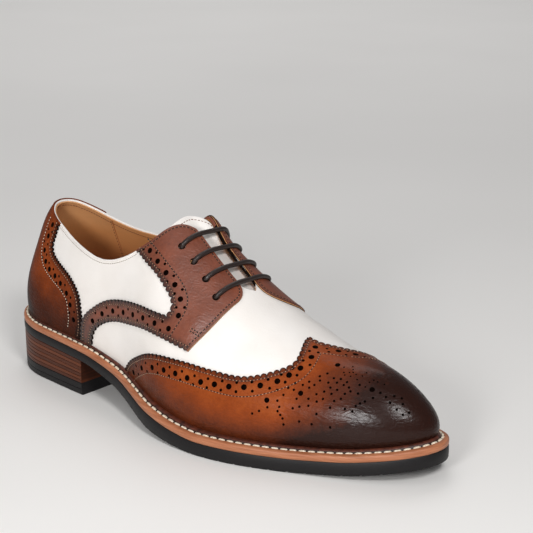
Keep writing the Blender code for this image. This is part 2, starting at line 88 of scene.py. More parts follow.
# Columns: station, squareness in plan, squareness in height, swell of the wall above the welt, and depth
# of the hollow over the swell
SECTION = (
    (0, 1.70, 2.00, 2.4, 2.6), (40, 1.75, 2.00, 2.4, 1.3), (70, 1.95, 2.00, 2.4, 0),
    (110, 2.20, 2.00, 2.6, 0), (150, 2.30, 2.00, 3.2, 0), (190, 2.30, 2.00, 3.8, 0),
    (230, 2.40, 2.05, 4.0, 0), (260, 2.60, 2.08, 3.8, 0), (302, 2.60, 2.10, 3.2, 0),
)

# Columns: station, share of the girth where the top line runs outside, and inside
COLLAR = (
    (0, 0.672, 0.672), (10, 0.650, 0.650), (20, 0.618, 0.616), (30, 0.585, 0.579), (38, 0.556, 0.550),
    (47, 0.521, 0.516), (54, 0.494, 0.492), (62, 0.467, 0.469), (70, 0.442, 0.455), (77, 0.424, 0.449),
    (85, 0.411, 0.449), (89, 0.410, 0.451), (95, 0.417, 0.456), (105, 0.449, 0.474), (118, 0.531, 0.531),
    (128, 0.645, 0.645), (135, 0.790, 0.778), (140, 0.890, 0.838), (145, 0.936, 0.866), (150, 0.936, 0.884),
    (158, 0.934, 0.911), (170, 0.930, 0.930), (178, 0.934, 0.950), (181, 0.955, 0.966), (183, 1.0, 1.0),
)

# Columns of the lines below: station, share of the girth
FACING_TOP = {
    OUTER: ((117.8, 0.529), (128, 0.638), (135.2, 0.787), (140, 0.880), (145, 0.934)),
    INNER: ((117.8, 0.529), (128, 0.645), (135.0, 0.778), (140, 0.838), (145, 0.866)),
}
FACING_FRONT = {
    OUTER: ((145, 0.934), (148, 0.937), (156.5, 0.934), (168, 0.930), (176, 0.928), (180.5, 0.914),
            (183.5, 0.868), (183.9, 0.772), (181.7, 0.600), (177.5, 0.463), (172.8, 0.357)),
    INNER: ((145, 0.866), (150, 0.884), (158, 0.911), (166.5, 0.922), (175, 0.942), (180, 0.957),
            (185, 0.955), (189, 0.920), (192.5, 0.850), (194, 0.760), (191.5, 0.620), (184, 0.460),
            (172.8, 0.357)),
}
BAND_LOWER = (
    (172.8, 0.357), (154.4, 0.309), (138.6, 0.263), (121.4, 0.210), (106.6, 0.174), (95.6, 0.132),
    (87.8, 0.074), (84.6, 0.006),
)
BAND_UPPER = (
    (74.5, 0.006), (75.5, 0.060), (78.5, 0.122), (85.4, 0.174), (97.1, 0.238), (108.6, 0.273),
    (124, 0.311), (140.7, 0.363), (152.6, 0.412),
)
WINDOW_EDGE = (
    (152.6, 0.412), (154.4, 0.455), (152.8, 0.488), (148.1, 0.503), (139.1, 0.511), (127.1, 0.511),
    (117.8, 0.529),
)
WING_SIDE = (
    (114.5, 0.006), (120.3, 0.058), (130.7, 0.122), (143.4, 0.192), (157.1, 0.248), (169.7, 0.295),
    (181.1, 0.335), (192.4, 0.369),
)
WING_EDGE = {
    OUTER: WING_SIDE + (
        (202.9, 0.400), (208, 0.421), (212.4, 0.450), (217.3, 0.495), (221.6, 0.546), (225, 0.598),
        (227.4, 0.643), (228.5, 0.690), (228, 0.757), (225.7, 0.843), (222.6, 0.923), (219.8, 1.0)),
    INNER: WING_SIDE + (
        (203, 0.393), (214, 0.418), (224, 0.447), (233, 0.487), (240, 0.533), (245, 0.590), (248, 0.650),
        (249, 0.720), (248.2, 0.800), (246, 0.862), (243, 0.897), (240.2, 0.922), (236.6, 0.945),
        (233.2, 0.966), (230, 0.983), (226, 0.994), (219.8, 1.0)),
}
COUNTER_EDGE = (
    (74.2, 0.006), (77, 0.070), (77.1, 0.120), (76.1, 0.166), (74.4, 0.207), (71.4, 0.239), (67, 0.270),
    (60.6, 0.301), (53.8, 0.325), (46.7, 0.352), (41.4, 0.383), (39.4, 0.417), (39.5, 0.460), (39.4, 0.510),
    (39.6, 0.550),
)
BAND_HOLES = (
    (81.0, 0.060), (88.0, 0.130), (96.7, 0.183), (106.1, 0.218), (116.8, 0.243), (127.7, 0.274),
    (138.6, 0.309), (148.1, 0.342), (157.1, 0.375),
)
WINDOW_HOLES = (
    (157.1, 0.375), (160.3, 0.430), (160.7, 0.500), (156.5, 0.556), (147.5, 0.569), (137.6, 0.569),
    (128.6, 0.577), (121.0, 0.590),
)
FACING_SEAM = (
    (124.0, 0.620), (133.0, 0.612), (146.0, 0.613), (157.6, 0.605), (163.2, 0.560), (163.6, 0.480),
    (161.2, 0.400), (158.6, 0.330),
)
EYELETS = {
    OUTER: ((146.0, 0.760), (155.5, 0.761), (165.5, 0.751), (174.9, 0.723)),
    INNER: ((146.0, 0.702), (155.5, 0.735), (165.5, 0.748), (174.9, 0.745)),
}
WING_SIDE_HOLES = (
    (125.6, 0.035), (136.5, 0.100), (148.1, 0.155), (158.6, 0.192), (168.1, 0.222), (176.9, 0.244),
    (186.2, 0.270), (194.8, 0.297),
)
WING_HOLES = {
    OUTER: WING_SIDE_HOLES + ((203.3, 0.324), (211.6, 0.361), (219.3, 0.412), (226.7, 0.487), (230.7, 0.566),
                              (234, 0.658), (234.8, 0.810), (230.4, 0.935)),
    INNER: WING_SIDE_HOLES + ((205, 0.322), (215, 0.350), (225, 0.385), (235, 0.427), (244.5, 0.482),
                              (252.5, 0.560), (257, 0.665), (258, 0.800), (254.8, 0.936), (243.7, 0.992)),
}
PEAK_SMALL_HOLES = ((236.4, 0.982), (240, 0.955))
COUNTER_HOLES = (
    (31.2, 0.530), (30.7, 0.454), (31, 0.372), (36.3, 0.317), (42.2, 0.286), (49.4, 0.264), (56.5, 0.237),
    (63, 0.203), (67, 0.154), (69.9, 0.091),
)
LINING_SEAM = ((47.5, 0.505), (48.0, 0.440), (49.0, 0.380), (51.2, 0.292), (53.0, 0.170), (54.0, 0.080))
BAR_TACK = ((177.4, 0.478), (170.4, 0.462))

# Creases and swells of the leather, one by one: side, station, share, turn of its long way from the
# foot's in degrees, half length, half width, and height in millimetres (below 0 for a trough)
CREASES = (
    (INNER, 141.0, 0.840, 0, 11.0, 8.0, 3.0),
    (OUTER, 178.5, 0.500, 68, 12.0, 3.0, -0.55),
    (OUTER, 172.5, 0.530, 72, 13.0, 3.2, 0.35),
    (OUTER, 160.0, 0.660, 25, 13.0, 3.5, -0.20),
    (OUTER, 170.0, 0.650, 25, 12.0, 3.5, -0.20),
    (OUTER, 201.0, 0.640, 80, 20.0, 4.0, -0.30),
    (INNER, 201.0, 0.640, 80, 20.0, 4.0, -0.30),
    (OUTER, 209.0, 0.660, 84, 18.0, 4.0, 0.20),
    (INNER, 209.0, 0.660, 84, 18.0, 4.0, 0.20),
    (OUTER, 97.0, 0.300, 15, 18.0, 5.0, -0.25),
)

# Toe medallion, the same on both sides, by station and share: large holes, dots and pin pricks
MEDALLION_LARGE = ((225.4, 0.328), (240.5, 0.445), (253.7, 0.830), (280.8, 0.612))
MEDALLION_SMALL = (
    (228.5, 0.422), (233.4, 0.462), (235.8, 0.516), (239.9, 0.518), (242.4, 0.561), (246.6, 0.639),
    (250.2, 0.690), (247.8, 0.598), (255.2, 0.658), (259.7, 0.668), (232.5, 0.399), (236.5, 0.459),
    (243.7, 0.509), (245.8, 0.544), (252.9, 0.598), (257.9, 0.618), (262.3, 0.609), (264.0, 0.648),
    (230.6, 0.345), (239.5, 0.394), (245.3, 0.414), (248.6, 0.467), (252.2, 0.504), (254.9, 0.554),
    (259.0, 0.546), (265.7, 0.594), (272.6, 0.644), (226.7, 0.279), (223.0, 0.239), (219.7, 0.209),
    (232.4, 0.303), (239.0, 0.314), (242.0, 0.336), (246.2, 0.357), (249.8, 0.404), (252.6, 0.437),
    (256.4, 0.497), (263.7, 0.521), (266.8, 0.556), (232.1, 0.269), (233.8, 0.245), (235.2, 0.222),
    (236.0, 0.177), (251.0, 0.301), (257.1, 0.372), (258.6, 0.437), (261.9, 0.467), (271.4, 0.546),
    (264.6, 0.380), (268.4, 0.366), (270.1, 0.421), (272.3, 0.449), (291.0, 0.411), (292.9, 0.356),
    (296.0, 0.371), (295.3, 0.466), (289.0, 0.482), (296.6, 0.528), (288.1, 0.541), (285.6, 0.583),
    (280.0, 0.519), (275.1, 0.474), (293.3, 0.554), (243.3, 0.220), (249.4, 0.212), (258.3, 0.205),
)
MEDALLION_PIN = (
    (259.1, 0.825), (266.5, 0.868), (267.2, 0.826), (260.4, 0.754), (264.5, 0.773), (267.5, 0.786),
    (261.5, 0.726), (265.8, 0.726), (270.1, 0.767), (275.5, 0.764), (270.9, 0.704), (280.8, 0.822),
    (280.3, 0.695), (284.8, 0.730), (287.5, 0.713), (291.7, 0.686), (276.4, 0.632),
)

# Heights over the finished outside of the last where each leather starts and ends
OVERLAY_TOP, OVERLAY_UNDER = 1.0, -0.25
UPPER_TOP, UPPER_UNDER = -0.2, -1.1
LINING_TOP, LINING_UNDER = -1.2, -2.0
HOLE_BED = -0.1

# Details of the leathers, in millimetres
TOOTH_PITCH, COUNTER_TOOTH_PITCH, TOOTH_DEPTH = 3.4, 2.4, 1.5
LARGE_HOLE, SMALL_HOLE = 1.6, 0.85
MEDALLION_HOLE, MEDALLION_DOT, PIN_HOLE = 1.4, 0.7, 0.48
PAIR_OFFSET = 2.35
BAND_PITCH, WINDOW_PITCH = 10.6, 9.0
EYELET_RADIUS, EYELET_OPENING = 2.1, 3.2
LACE_RADIUS = 1.4
EDGE_ROW, INNER_ROW, COUNTER_ROW, FACING_ROW = 2.7, 10.8, 12.0, 1.7
COLLAR_ROW, LINING_ROW = 2.0, 3.0
STITCH_PITCH, FACING_PITCH = 1.9, 2.13
CUT_RING = 0.8
HOLE_BED_THICKNESS = 0.1
LINE_STEP = 0.4

# Corners of a round hole of each kind
LARGE_CORNERS, SMALL_CORNERS, PIN_CORNERS, EYELET_CORNERS = 14, 9, 8, 20

# Shares of the girth: the overlays' hem, and how near the ridge a moved line may come
HEM, RIDGE_LIMIT = 0.006, 0.9995


def smooth(table, column):
    """A natural cubic curve through one column of a table, read by its first column."""
    x = np.array([row[0] for row in table], float)
    y = np.array([row[column] for row in table], float)
    step = np.diff(x)
    system = np.eye(len(x))
    right = np.zeros(len(x))
    for i in range(1, len(x) - 1):
        system[i, i - 1:i + 2] = step[i - 1], 2 * (step[i - 1] + step[i]), step[i]
        right[i] = 6 * ((y[i + 1] - y[i]) / step[i] - (y[i] - y[i - 1]) / step[i - 1])
    bend = np.linalg.solve(system, right)

    def at(value):
        s = np.clip(value, x[0], x[-1])
        i = np.clip(np.searchsorted(x, s) - 1, 0, len(step) - 1)
        after, before = s - x[i], x[i + 1] - s
        curve = (bend[i] * before ** 3 + bend[i + 1] * after ** 3) / (6 * step[i])
        return (curve + (y[i] / step[i] - bend[i] * step[i] / 6) * before
                + (y[i + 1] / step[i] - bend[i + 1] * step[i] / 6) * after)

    return at


def steady(table, column):
    """A curve through one column of a table that never overshoots."""
    x = np.array([row[0] for row in table], float)
    y = np.array([row[column] for row in table], float)
    step = np.diff(x)
    rise = np.diff(y) / step
    slope = np.zeros(len(x))
    slope[0], slope[-1] = rise[0], rise[-1]
    for i in range(1, len(x) - 1):
        if rise[i - 1] * rise[i] > 0:
            a, b = 2 * step[i] + step[i - 1], step[i] + 2 * step[i - 1]
            slope[i] = (a + b) / (a / rise[i - 1] + b / rise[i])

    def at(value):
        s = np.clip(value, x[0], x[-1])
        i = np.clip(np.searchsorted(x, s) - 1, 0, len(step) - 1)
        t = (s - x[i]) / step[i]
        return (y[i] * (1 + 2 * t) * (1 - t) ** 2 + step[i] * slope[i] * t * (1 - t) ** 2
                + y[i + 1] * t * t * (3 - 2 * t) + step[i] * slope[i + 1] * t * t * (t - 1))

    return at


def ramp(value, low, high):
    """A soft step from 0 at low to 1 at high."""
    t = np.clip((value - low) / (high - low), 0, 1)
    return t * t * (3 - 2 * t)


OUTER_WIDTH, INNER_WIDTH = smooth(SOLE_WIDTHS, 1), smooth(SOLE_WIDTHS, 2)
UNDERSIDE, SOLE_THICKNESS = steady(SOLE_PROFILE, 1), steady(SOLE_PROFILE, 2)
INSET = smooth(FEATHER_INSET, 1)
RIDGE_HEIGHT = smooth(RIDGE, 1)
PLAN_SQUARE, RISE_SQUARE, SWELL, HOLLOW = (steady(SECTION, column) for column in (1, 2, 3, 4))
COLLAR_SHARE = {OUTER: steady(COLLAR, 1), INNER: steady(COLLAR, 2)}


def station_of(q):
    """Station along the foot of a place round the shoe."""
    return LENGTH * (1 - np.cos(np.pi * np.abs(q))) / 2


def place_of(station):
    """How far round from the heel, 0 to 1, a station lies."""
    return np.arccos(1 - 2 * np.asarray(station, float) / LENGTH) / np.pi


def spots(rows, side):
    """Places on one side of the last of rows of station and share."""
    station, share = np.array(rows, float).T
    return side * place_of(station), share


def wrap(q):
    """A place round the shoe brought back between -1 and 1."""
    return (np.asarray(q, float) + 1) % 2 - 1


def collar_share(q):
    """Share of the girth where the top line runs."""
    s = station_of(wrap(q))
    return np.where(wrap(q) < 0, COLLAR_SHARE[OUTER](s), COLLAR_SHARE[INNER](s))


def swing(station):
    """How far the middle of the foot turns to the inside."""
    return TOE_SWING * np.clip((station - SWING_START) / (LENGTH - SWING_START), 0, None) ** 2


def sole_edge(q):
    """Plan position of the sole's edge."""
    q = wrap(q)
    s = station_of(q)
    heel = np.sqrt(np.clip(1 - (np.clip(HEEL_ROUND - s, 0, None) / HEEL_ROUND) ** 2, 0, 1))
    toe = np.sqrt(np.clip(1 - (np.clip(s - LENGTH + TOE_ROUND, 0, None) / TOE_ROUND) ** 2, 0, 1))
    half = np.where(q < 0, OUTER_WIDTH(s), INNER_WIDTH(s))
    return s, swing(s) + np.sign(q) * half * heel * toe


def edge_inset(q, distance):
    """The sole's edge moved inwards, square to itself."""
    near = 0.002
    s, y = sole_edge(q)
    s0, y0 = sole_edge(q - near)
    s1, y1 = sole_edge(q + near)
    along = np.hypot(s1 - s0, y1 - y0)
    return s + (y1 - y0) / along * distance, y - (s1 - s0) / along * distance


def seat_height(station):
    """Height of the welt's top, where the upper stands."""
    return UNDERSIDE(station) + SOLE_THICKNESS(station) + GAP + WELT_THICKNESS


def ridge_station(station):
    """Station on the ridge where the section line of a station of the sole ends."""
    def ease(distance, reach, end):
        u = np.clip(distance / reach, 0, 1)
        return reach * u * (1 - u) ** 2 + end * u * u * (3 - 2 * u)

    toe = np.where(station > TOE_FAN_START,
                   TOE_FAN_START + ease(station - TOE_FAN_START, TOE_FAN_END - TOE_FAN_START,
                                        TOE_APEX - TOE_FAN_START), station)
    heel = HEEL_FAN_END - ease(HEEL_FAN_END - station, HEEL_FAN_END, HEEL_FAN_END - HEEL_CENTRE)
    return np.where(station < HEEL_FAN_END, heel, toe)


def section_ends(q):
    """Plan positions of a section line's two ends: the seam at the welt and the ridge."""
    s = station_of(wrap(q))
    fx, fy = edge_inset(q, INSET(s))
    rx = ridge_station(s)
    return fx, fy, rx, swing(rx)


def last(q, share):
    """A point of the shoe's finished outside."""
    q, share = np.broadcast_arrays(wrap(q), np.asarray(share, float))
    s = station_of(q)
    fx, fy, rx, ry = section_ends(q)
    fz = seat_height(s) + GAP
    turn = np.pi / 2 * np.clip(share, 0, 1)
    rise = np.sin(turn) ** (2 / RISE_SQUARE(s))
    lean = 1 - np.clip(np.cos(turn), 0, 1) ** (2 / PLAN_SQUARE(s))
    swell = SWELL(s) * np.sin(np.pi * rise ** SWELL_POWER) * np.sqrt(1 - rise)
    swell = swell - HOLLOW(s) * np.sin(np.pi * np.clip(share / HOLLOW_TOP, 0, 1)) ** 3
    reach = np.hypot(fx - rx, fy - ry) + 1e-9
    x = fx + (rx - fx) * lean + (fx - rx) / reach * swell
    y = fy + (ry - fy) * lean + (fy - ry) / reach * swell
    z = fz + (RIDGE_HEIGHT(x) - fz) * rise
    return np.stack([x, y, z], -1)


def unit(vectors):
    """Vectors brought to length 1."""
    return vectors / (np.linalg.norm(vectors, axis=-1, keepdims=True) + 1e-12)


NEAR = 0.003


def outward(q, share, surface=last):
    """The direction out of a surface, the last or a leather on it, at places on the last."""
    def out(at):
        along = surface(at + NEAR, share) - surface(at - NEAR, share)
        up = surface(at, np.clip(share + NEAR, 0, 1)) - surface(at, np.clip(share - NEAR, 0, 1))
        return unit(np.cross(up, along))

    q, share = np.broadcast_arrays(np.asarray(q, float), np.asarray(share, float))
    ridge = (share > 1 - NEAR)[..., None]
    return unit(np.where(ridge, out(q) + out(-q) + np.array([0, 0, 0.01]), out(q)))


def relief(q, share):
    """Height that the creases and swells add to the leather."""
    q, share = np.broadcast_arrays(wrap(q), np.asarray(share, float))
    forward, girth = station_of(q), np.interp(q, ARC_PLACE, ARC_GIRTH)
    height = np.zeros(q.shape)
    for side, station, middle, turn, half_length, half_width, rise in CREASES:
        x, y = forward - station, (share - middle) * girth
        turn = np.radians(turn)
        along, across = x * np.cos(turn) + y * np.sin(turn), y * np.cos(turn) - x * np.sin(turn)
        form = rise * np.exp(-(along / half_length) ** 2 - (across / half_width) ** 2)
        height = height + np.where(q * side > 0, form, 0)
    return height


def outside(q, share, height):
    """Points at a height over the finished outside of the last, creases and swells included."""
    return last(q, share) + outward(q, share) * (np.asarray(height) + relief(q, share))[..., None]


def settle(q, share, target, rounds=5):
    """Places on the last nearest to points close to it."""
    q, share = np.array(q, float), np.array(share, float)
    for _ in range(rounds):
        low, high = np.clip(share - NEAR, 0, 1), np.clip(share + NEAR, 0, 1)
        a = (last(q + NEAR, share) - last(q - NEAR, share)) / (2 * NEAR)
        b = (last(q, high) - last(q, low)) / (high - low)[..., None]
        miss = target - last(q, share)
        aa, ab, bb = (a * a).sum(-1), (a * b).sum(-1), (b * b).sum(-1)
        am, bm = (a * miss).sum(-1), (b * miss).sum(-1)
        size = aa * bb - ab * ab + 1e-9
        q = q + np.clip((am * bb - bm * ab) / size, -0.02, 0.02)
        share = share + np.clip((bm * aa - am * ab) / size, -0.06, 0.06)
        q = np.where(share > 1, -q, q)
        share = np.clip(np.where(share > 1, 2 - share, share), 0, 1)
    return wrap(q), share


def lengths(points):
    """Distance along a line of points from its first one."""
    return np.concatenate([[0], np.cumsum(np.linalg.norm(np.diff(points, axis=0), axis=1))])


def line(rows, side, step=LINE_STEP):
    """A smooth line on one side of the last through rows of station and share, evenly sampled."""
    q, share = spots(rows, side)
    table = np.stack([lengths(last(q, share)), q, share], 1)
    u = np.linspace(0, table[-1, 0], 50 * len(rows))
    return even(smooth(table, 1)(u), np.clip(smooth(table, 2)(u), 0, 1), step)


def even(q, share, step):
    """A line's places sampled again at even steps along it."""
    along = lengths(last(q, share))
    at = np.linspace(0, along[-1], max(2, int(round(along[-1] / step)) + 1))
    return np.interp(at, along, q), np.interp(at, along, share)


def joined(*lines):
    """Lines one after the other."""
    return tuple(np.concatenate(column) for column in zip(*lines))


def sideways(q, share):
    """Unit vectors across a line, to its left as seen from outside."""
    points = last(q, share)
    return unit(np.cross(outward(q, share), np.gradient(points, axis=0)))


def shifted(path, distance):
    """A line moved to its left by a distance, and cut where it would cross the ridge."""
    q, share = path
    moved_q, moved_share = settle(q, share, last(q, share) + sideways(q, share) * distance)
    kept = (np.sign(moved_q) == np.sign(q)) & (moved_share < RIDGE_LIMIT)
    return even(moved_q[kept], moved_share[kept], LINE_STEP)


def pinked(path, left, pitch=TOOTH_PITCH):
    """A line cut into small round teeth whose tips lie on it, its leather to the right, or to the left."""
    q, share = path
    total = lengths(last(q, share))[-1]
    teeth = max(1, int(round(total / pitch)))
    points = 8
    at = np.linspace(0, total, teeth * points + 1)
    along = lengths(last(q, share))
    q, share = np.interp(at, along, q), np.interp(at, along, share)
    notch = 1 - np.abs(np.sin(np.pi * np.arange(len(at)) / points)) ** 0.55
    out = sideways(q, share) * (TOOTH_DEPTH * (-1 if left else 1) * notch)[:, None]
    return settle(q, share, last(q, share) + out)


def rings(q, share, radius, count):
    """Round holes on the last: one closed ring of places about each centre."""
    q, share = np.asarray(q, float), np.asarray(share, float)
    out = outward(q, share)
    first = unit(np.cross(out, np.array([0.3, 0.2, 1.0])))
    second = np.cross(out, first)
    found = []
    for turn in np.arange(count) * 2 * np.pi / count:
        target = last(q, share) + radius * (np.cos(turn) * first + np.sin(turn) * second)
        found.append(settle(q, share, target))
    return [tuple(ring) for ring in np.array(found).transpose(2, 1, 0)]


def brogue_holes(path, pitch):
    """Large holes spaced along a line, with a pair of small ones across it between them."""
    along = lengths(last(*path))
    count = max(1, int(round(along[-1] / pitch)))
    return hole_row(path, (np.arange(count) + 1) * along[-1] / count)


def placed_holes(rows, side):
    """Large holes at measured places on one side, with a pair of small ones between them."""
    path = line(rows, side)
    points = last(*path)
    knots = last(*spots(rows, side))
    nearest = [int(np.argmin(np.linalg.norm(points - knot, axis=1))) for knot in knots]
    return hole_row(path, lengths(points)[nearest])


def hole_row(path, at):
    """Large holes at distances along a line, with a pair of small ones across it between them."""
    along = lengths(last(*path))

    def pick(where):
        return np.interp(where, along, path[0]), np.interp(where, along, path[1])

    holes = rings(*pick(at), LARGE_HOLE, LARGE_CORNERS)
    pairs = (at[1:] + at[:-1]) / 2
    q, share = pick(pairs)
    across = np.stack([np.interp(pairs, along, column) for column in sideways(*path).T], 1)
    for offset in (PAIR_OFFSET, -PAIR_OFFSET):
        places = settle(q, share, last(q, share) + across * offset)
        holes += rings(*places, SMALL_HOLE, SMALL_CORNERS)
    return holes


def arc_table():
    """Length round the seam from the heel, and length of the section line, for each place round."""
    q = np.linspace(-1, 1, 1201)
    along = lengths(last(q, 0.0))
    share = np.linspace(0, 1, 60)
    girth = [lengths(last(np.full(60, a), share))[-1] for a in q]
    return q, along - np.interp(0, q, along), np.array(girth)


ARC_PLACE, ARC_LENGTH, ARC_GIRTH = arc_table()


def wall_plane(q, share):
    """Flat pattern of a panel on the side or the heel: length round the seam, length up the girth."""
    return np.stack([np.interp(q, ARC_PLACE, ARC_LENGTH), share * np.interp(q, ARC_PLACE, ARC_GIRTH)], -1)


def toe_plane(q, share):
    """Flat pattern of a panel over the toe: the plan, spread out evenly from ridge to seam."""
    fx, fy, rx, ry = section_ends(q)
    return np.stack([fx + (rx - fx) * share, fy + (ry - fy) * share], -1)


def within(points, loop):
    """Which flat points lie inside a closed loop."""
    inside = np.zeros(len(points), bool)
    x, y = points[:, 0], points[:, 1]
    for (x0, y0), (x1, y1) in zip(loop, np.roll(loop, -1, axis=0)):
        if y0 != y1:
            crosses = (y0 > y) != (y1 > y)
            inside ^= crosses & (x < (x1 - x0) * (y - y0) / (y1 - y0) + x0)
    return inside


def clearance(points, marks):
    """Distance from points, flat or in space, to the nearest of some marks."""
    points, marks = (np.pad(table, ((0, 0), (0, 3 - table.shape[1]))) for table in (points, marks))
    tree = KDTree(len(marks))
    for i, place in enumerate(marks):
        tree.insert(place, i)
    tree.balance()
    return np.array([tree.find(point)[2] for point in points])


def filling(first, final, spacing):
    """Places laid out evenly in rows over the last between two places round it."""
    found_q, found_share = [], []
    rows = int(120 / spacing)
    for row, share in enumerate(np.linspace(0.008, 0.995, rows)):
        q = np.linspace(first, final, 900)
        along = lengths(last(q, share))
        at = np.arange(spacing * (0.25 + 0.5 * (row % 2)), along[-1], spacing)
        found_q.append(np.interp(at, along, q))
        found_share.append(np.full(len(at), share))
    return wrap(np.concatenate(found_q)), np.concatenate(found_share)


# From shoe millimetres, with the heel's back at 0, to the origin under the middle of the shoe
SOLE_SIDES = sole_edge(np.linspace(-1, 1, 801))[1]
SHIFT = np.array([-LENGTH / 2, -(SOLE_SIDES.min() + SOLE_SIDES.max()) / 2, 0])


def choose(piece):
    """Select one piece and nothing else."""
    bpy.ops.object.select_all(action="DESELECT")
    piece.select_set(True)
    bpy.context.view_layer.objects.active = piece


def apply(piece, kind, **settings):
    """Add a modifier with its settings and apply it."""
    choose(piece)
    made = piece.modifiers.new(kind.lower(), kind)
    for name, value in settings.items():
        setattr(made, name, value)
    bpy.ops.object.modifier_apply(modifier=made.name)


def merge(piece, distance=0.02):
    """Join points that lie together and turn the faces out."""
    choose(piece)
    bpy.ops.object.mode_set(mode="EDIT")
    bpy.ops.mesh.select_all(action="SELECT")
    bpy.ops.mesh.remove_doubles(threshold=distance * MM)
    bpy.ops.mesh.dissolve_degenerate(threshold=distance * MM / 10)
    bpy.ops.mesh.select_all(action="SELECT")
    bpy.ops.mesh.normals_make_consistent(inside=False)
    bpy.ops.object.mode_set(mode="OBJECT")


def soften(piece, angle=35):
    """Smooth shading with the cut edges kept sharp."""
    choose(piece)
    bpy.ops.object.shade_smooth_by_angle(angle=np.radians(angle))


def new_piece(name, points, faces):
    """A piece from points in shoe millimetres and faces."""
    mesh = bpy.data.meshes.new(name)
    mesh.from_pydata(((np.asarray(points) + SHIFT) * MM).tolist(), [], faces)
    piece = bpy.data.objects.new(name, mesh)
    bpy.context.scene.collection.objects.link(piece)
    return piece


def laid_grid(name, points):
    """A grid primitive whose corners are moved to rows of points in shoe millimetres."""
    rows, columns = points.shape[:2]
    bpy.ops.object.select_all(action="DESELECT")
    bpy.ops.mesh.primitive_grid_add(x_subdivisions=columns - 1, y_subdivisions=rows - 1, size=1)
    piece = bpy.context.object
    piece.name = piece.data.name = name
    moved = ((points + SHIFT) * MM).reshape(-1).astype(np.float32)
    piece.data.vertices.foreach_set("co", moved)
    piece.data.update()
    return piece


def mark(piece, name, values):
    """Give every point of a piece a value that its material reads."""
    attribute = piece.data.attributes.new(name, "FLOAT", "POINT")
    attribute.data.foreach_set("value", np.asarray(values, np.float32))


def finish(piece, materials, replaced=()):
    """Put the materials on, set the piece on the shoe's body, and hide the CAD parts that it replaces."""
    for material in materials:
        piece.data.materials.append(material)
    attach(piece, "root")
    if replaced:
        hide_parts(*replaced)
    return piece


def linear(code):
    """An sRGB hex colour as linear RGBA."""
    parts = [int(code[i:i + 2], 16) / 255 for i in (1, 3, 5)]
    return (*(c / 12.92 if c <= 0.04045 else ((c + 0.055) / 1.055) ** 2.4 for c in parts), 1)


def node(tree, kind, settings=None, links=None):
    """Add a node: settings go to its properties or, by socket, to its inputs; links feed its inputs."""
    made = tree.nodes.new(kind)
    for name, value in (settings or {}).items():
        if isinstance(name, str) and hasattr(made, name):
            setattr(made, name, value)
        else:
            made.inputs[name].default_value = value
    for name, socket in (links or {}).items():
        tree.links.new(socket, made.inputs[name])
    return made


def stops(ramp_node, *colours):
    """Set a colour ramp's stops from pairs of place and hex colour."""
    elements = ramp_node.color_ramp.elements
    while len(elements) < len(colours):
        elements.new(1.0)
    for element, (place, code) in zip(elements, colours):
        element.position = place
        element.color = linear(code)


def material(name, **constants):
    """A material with its shader's constant values set; returns it with its tree and shader."""
    made = bpy.data.materials.new(name)
    made.use_nodes = True
    shader = made.node_tree.nodes["Principled BSDF"]
    for socket, value in constants.items():
        shader.inputs[socket.replace("_", " ").title().replace("Ior", "IOR")].default_value = value
    return made, made.node_tree, shader


# Pores, fibres and thread twist are 0.1 to 0.3 mm wide, too fine to show in the render, so they are drawn
# three to five times as wide
def per_metre(millimetres):
    """Texture scale for a pattern of this size, in Object coordinates."""
    return 1 / (millimetres * MM)


def grain(tree, shader, place, cell, depth):
    """Leather grain: small cells, finer pores and wide slanting wrinkles, which alone break the wax."""
    cells = node(tree, "ShaderNodeTexVoronoi", {"feature": "SMOOTH_F1", "Scale": per_metre(cell)},
                 {"Vector": place})
    pores = node(tree, "ShaderNodeTexNoise", {"Scale": per_metre(0.4 * cell), "Detail": 3.0},
                 {"Vector": place})
    slant = {"Rotation": (0, np.radians(40), np.radians(25)), "Scale": (0.25, 0.6, 1.0)}
    drawn = node(tree, "ShaderNodeMapping", slant, {"Vector": place})
    folds = node(tree, "ShaderNodeTexNoise",
                 {"Scale": per_metre(1.7 * cell), "Detail": 2.0, "Distortion": 0.9},
                 {"Vector": drawn.outputs["Vector"]})
    fine = node(tree, "ShaderNodeMath", {"operation": "MULTIPLY_ADD", 1: 0.6},
                {0: pores.outputs["Fac"], 2: cells.outputs["Distance"]})
    both = node(tree, "ShaderNodeMath", {"operation": "MULTIPLY_ADD", 1: 2.6},
                {0: folds.outputs["Fac"], 2: fine.outputs[0]})
    for height, socket in ((both.outputs[0], "Normal"), (folds.outputs["Fac"], "Coat Normal")):
        bump = node(tree, "ShaderNodeBump", {"Strength": 0.6, "Distance": depth * MM}, {"Height": height})
        tree.links.new(bump.outputs["Normal"], shader.inputs[socket])


